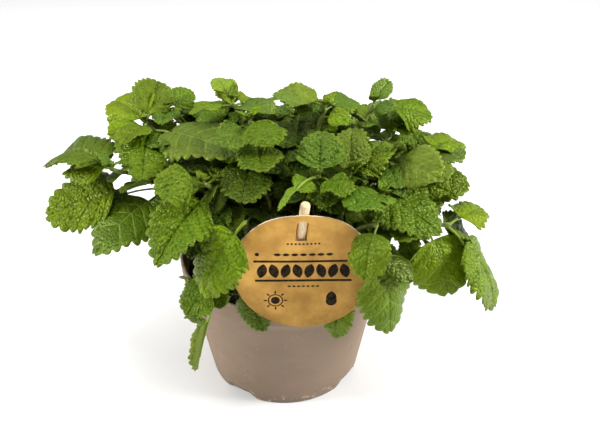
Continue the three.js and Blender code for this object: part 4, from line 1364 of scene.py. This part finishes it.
class Crowd:
    """The places that leaves already take, so that new ones keep clear of them."""

    def __init__(self):
        self.groups = []

    def add(self, points):
        """Takes these places."""
        self.groups.append(np.reshape(points, (-1, 3)))

    def gap(self, points):
        """The least distance from these points to any place that is taken, looking no further
        around them than the crowd's sight."""
        points = np.reshape(points, (-1, 3))
        taken = np.concatenate(self.groups)
        low, high = points.min(axis=0) - CROWD_SIGHT, points.max(axis=0) + CROWD_SIGHT
        taken = taken[((taken > low) & (taken < high)).all(axis=1)]
        if len(taken) == 0:
            return CROWD_SIGHT
        return np.linalg.norm(points[:, None] - taken[None], axis=-1).min()


def small_leaves(stem, heights, size, crowd, rng):
    """Opposite pairs of small leaves up a stem, each pair turned a quarter from the last. A leaf
    that would touch one that is there is made smaller or left out."""
    rows = []
    spin = rng.uniform(0, TAU)
    for level, height in enumerate(heights):
        for flip in (0, math.pi):
            angle = spin + level * math.pi / 2 + flip + rng.uniform(-0.3, 0.3)
            reach = rng.uniform(*size) * (1.15 - 0.4 * height)
            row = small_leaf(stem, height, angle, reach, crowd, rng)
            if row is not None:
                rows.append(row)
    return rows


def small_leaf(stem, height, angle, reach, crowd, rng):
    """The first size at which a small leaf keeps clear of what is there, or none."""
    node = STEMS[stem].at(height)
    rise = rng.uniform(-0.3, 0.5)
    for scale in (1.0, 0.8, 0.62):
        way = np.array([math.cos(angle), math.sin(angle), rise]) * reach * scale
        side = np.array([-math.sin(angle), math.cos(angle), 0.0]) * reach * scale * 0.24
        tip = node + way
        probe = node + way * np.linspace(0.35, 1.0, 6)[:, None]
        probe = np.stack([probe, probe + side, probe - side])
        if inside_crown(tip) and crowd.gap(probe) > SMALL_LEAF_GAP:
            crowd.add(probe)
            tone, grey = rng.uniform(0.25, 0.8), rng.uniform(0, 0.4)
            return ("small", stem, height, tuple(tip), reach * scale * 0.12, reach * scale * 0.72,
                    rng.uniform(30, 60), rng.uniform(-25, 25), tone, grey, rng.uniform(-5, 12), 1.0)
    return None


def inside_crown(tip):
    """Whether a tip stays within the crown's own outline and out of its hollows."""
    x, y, z = tip
    hollows = np.linalg.norm(HOLLOWS[:, :3] - tip, axis=-1) < HOLLOWS[:, 3]
    beneath = (x / CROWN_HALF[0]) ** 2 + (y / CROWN_HALF[1]) ** 2 < 1
    return beneath and CROWN_BOTTOM < z < crown_top(x, y) and not hollows.any()


def shoot_tip(stem, rng):
    """The young leaves around a stem's end: two crossed pairs, the inner one steeper."""
    node = STEMS[stem].end
    spin = rng.uniform(0, TAU)
    rows = []
    for k in range(4):
        angle = spin + k * math.pi + (k // 2) * math.pi / 2
        steep = 0.9 if k < 2 else 2.2
        reach = rng.uniform(7, 11) if k < 2 else rng.uniform(4, 6)
        tip = node + unit(np.array([math.cos(angle), math.sin(angle), steep])) * reach
        rows.append(("young", stem, 1, tuple(tip), 0.8, reach * 0.6, 50, 0,
                     rng.uniform(0.5, 0.85), rng.uniform(0, 0.3), 12, 1.1))
    return rows


def inner_stems(count, crowd):
    """Short stems that fill the crown from inside: their ends spread like a sunflower's seeds
    under the crown's top, and each is moved a little to where it is clearest of large leaves."""
    rng = np.random.default_rng(77)
    names = []
    for k in range(count):
        reach = math.sqrt((k + 0.5) / count)
        best = -1.0
        for _ in range(10):
            angle = k * GOLDEN_ANGLE + rng.uniform(-0.25, 0.25)
            x = INNER_SPREAD[0] * reach * math.cos(angle)
            y = INNER_SPREAD[1] * reach * math.sin(angle)
            end = (x, y, crown_top(x, y) - rng.uniform(7, 24) - 22 * reach)
            foot = (x * 0.36 + rng.uniform(-3, 3), y * 0.5 + rng.uniform(-3, 3))
            stem = Stem(foot, end)
            gap = crowd.gap(stem.at(np.linspace(0.2, 1, 14)))
            if gap > best:
                best, chosen = gap, stem
        names.append("inner_%02d" % k)
        STEMS[names[-1]] = chosen
    return names


# ------------------------------------------------------------------ build


def pot_and_label():
    """The pot with its soil, and the card on its stick."""
    peat = soil_finish()
    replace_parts(pot_piece(), "pot")
    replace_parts(soil_piece(peat), "soil")
    crumbs_piece(peat)
    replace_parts(stick_piece(), "label_stick")
    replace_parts(card_piece(), "label_card")


def large_leaves(stem_material, leaf_material):
    """The plantlets' stems and the leaves that stand for their nodes. Gives the places taken."""
    crowd = Crowd()
    for number, row_of_leaf in enumerate(LEAVES):
        leaf = leaf_piece(row_of_leaf, number + 1, leaf_material)
        coordinates = np.empty(len(leaf.data.vertices) * 3, np.float32)
        leaf.data.vertices.foreach_get("co", coordinates)
        crowd.add(sample_of(coordinates.reshape(-1, 3) / MM - POT_AXIS))
    for plantlet, (_, stems) in PLANTLETS.items():
        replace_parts(plantlet_piece(plantlet, stems, stem_material), plantlet)
    return crowd


def filling(crowd, stem_material, leaf_material):
    """The leaves of middle size, the inner stems, the young leaves at the stems' ends, and the
    small leaves, which go where there is room: first on the inner stems, then by plantlet."""
    left = [row for row in MORE_LEAVES if row[3][0] < CROWN_MIDDLE]
    right = [row for row in MORE_LEAVES if row[3][0] >= CROWN_MIDDLE]
    for name, rows, seed in (("left", left, 100), ("right", right, 140)):
        points = leaves_piece("middle_leaves_" + name, rows, MIDDLE_GRID, seed, leaf_material)
        crowd.add(points[::9])

    inner = inner_stems(INNER_STEMS, crowd)
    points, faces = joined([stem_tube(STEMS[name], [], 24, 8) for name in [*SHOOTS, *inner]])
    make_piece("stems_inner", points, faces, stem_material)

    rng = np.random.default_rng(5)
    ends = [*SHOOTS, *(stem for _, stems in PLANTLETS.values() for stem in stems)]
    tips = [row for stem in ends if stem not in BARE_ENDS for row in shoot_tip(stem, rng)]
    leaves_piece("young_leaves", tips, YOUNG_GRID, 400, leaf_material)

    half = INNER_STEMS // 2
    groups = {
        name: (stems, (0.5, 0.62, 0.74, 0.85, 0.95), (22, 32))
        for name, stems in (("inner", inner[:half]), ("outer", inner[half:]))
    }
    for plantlet, (_, stems) in PLANTLETS.items():
        name = plantlet.replace("plantlet_", "")
        groups[name] = (stems, (0.34, 0.46, 0.58, 0.7, 0.8, 0.9), (18, 28))
    for name, (stems, heights, size) in groups.items():
        rows = [row for stem in stems for row in small_leaves(stem, heights, size, crowd, rng)]
        leaves_piece("small_leaves_" + name, rows, SMALL_GRID, 500 + len(rows), leaf_material)


def plant():
    """All stems and leaves."""
    stem_material, leaf_material = stem_finish(), leaf_finish()
    crowd = large_leaves(stem_material, leaf_material)
    filling(crowd, stem_material, leaf_material)


# ------------------------------------------------------------------ floor, light and camera


def put_light(name, data, place=(0, 0, 0), turn=(0, 0, 0)):
    """A light in the scene."""
    light = bpy.data.objects.new(name, data)
    light.location = place
    light.rotation_euler = turn
    bpy.context.scene.collection.objects.link(light)


def area_light(name, place, size, power):
    """A round soft light that points at the plant's middle."""
    data = bpy.data.lights.new(name, "AREA")
    data.shape = "DISK"
    data.size = size
    data.energy = power
    x, y, z = np.array(PLANT_MIDDLE) - np.array(place)
    put_light(name, data, place, (math.atan2(math.hypot(x, y), -z), 0.0, math.atan2(x, -y) + math.pi))


def sky_light():
    """Broad even daylight from above and a little behind."""
    data = bpy.data.lights.new("sky", "SUN")
    data.energy = SKY_STRENGTH
    data.angle = SKY_ANGLE
    put_light("sky", data, turn=(SKY_TILT, 0, 0))


def studio():
    """A wide white floor, a light in front high above the plant, a strong one on each side, broad
    light from behind above, and the surround."""
    side = FLOOR_HALF
    mesh = bpy.data.meshes.new("floor")
    corners = [(-side, -side, 0), (side, -side, 0), (side, side, 0), (-side, side, 0)]
    mesh.from_pydata(corners, [], [(0, 1, 2, 3)])
    mesh.materials.append(floor_finish())
    floor = bpy.data.objects.new("floor", mesh)
    bpy.context.scene.collection.objects.link(floor)
    for light in LIGHTS:
        area_light(*light)
    sky_light()
    surround()
    bpy.context.scene.view_settings.view_transform = "Standard"


def surround():
    """A faint even light from all sides. Seen directly it is as pale as the floor far away."""
    world = bpy.data.worlds.new("surround")
    world.use_nodes = True
    nodes, links = world.node_tree.nodes, world.node_tree.links
    path = nodes.new("ShaderNodeLightPath")
    either = nodes.new("ShaderNodeMixShader")
    links.new(path.outputs["Is Camera Ray"], either.inputs["Fac"])
    for socket, node, strength in (
        (1, nodes["Background"], SURROUND_LIGHT),
        (2, nodes.new("ShaderNodeBackground"), SURROUND_SEEN),
    ):
        node.inputs["Color"].default_value = (1, 1, 1, 1)
        node.inputs["Strength"].default_value = strength
        links.new(node.outputs["Background"], either.inputs[socket])
    links.new(either.outputs["Shader"], nodes["World Output"].inputs["Surface"])
    bpy.context.scene.world = world


def camera():
    """The camera, looking down at the plant from in front."""
    data = bpy.data.cameras.new("camera")
    data.sensor_width = CAMERA_SENSOR
    data.lens = CAMERA_LENS
    data.dof.use_dof = False
    seen_from = bpy.data.objects.new("camera", data)
    seen_from.location = CAMERA_PLACE
    seen_from.rotation_euler = (CAMERA_TILT, 0, 0)
    bpy.context.scene.collection.objects.link(seen_from)
    bpy.context.scene.camera = seen_from


pot_and_label()
plant()
studio()
camera()
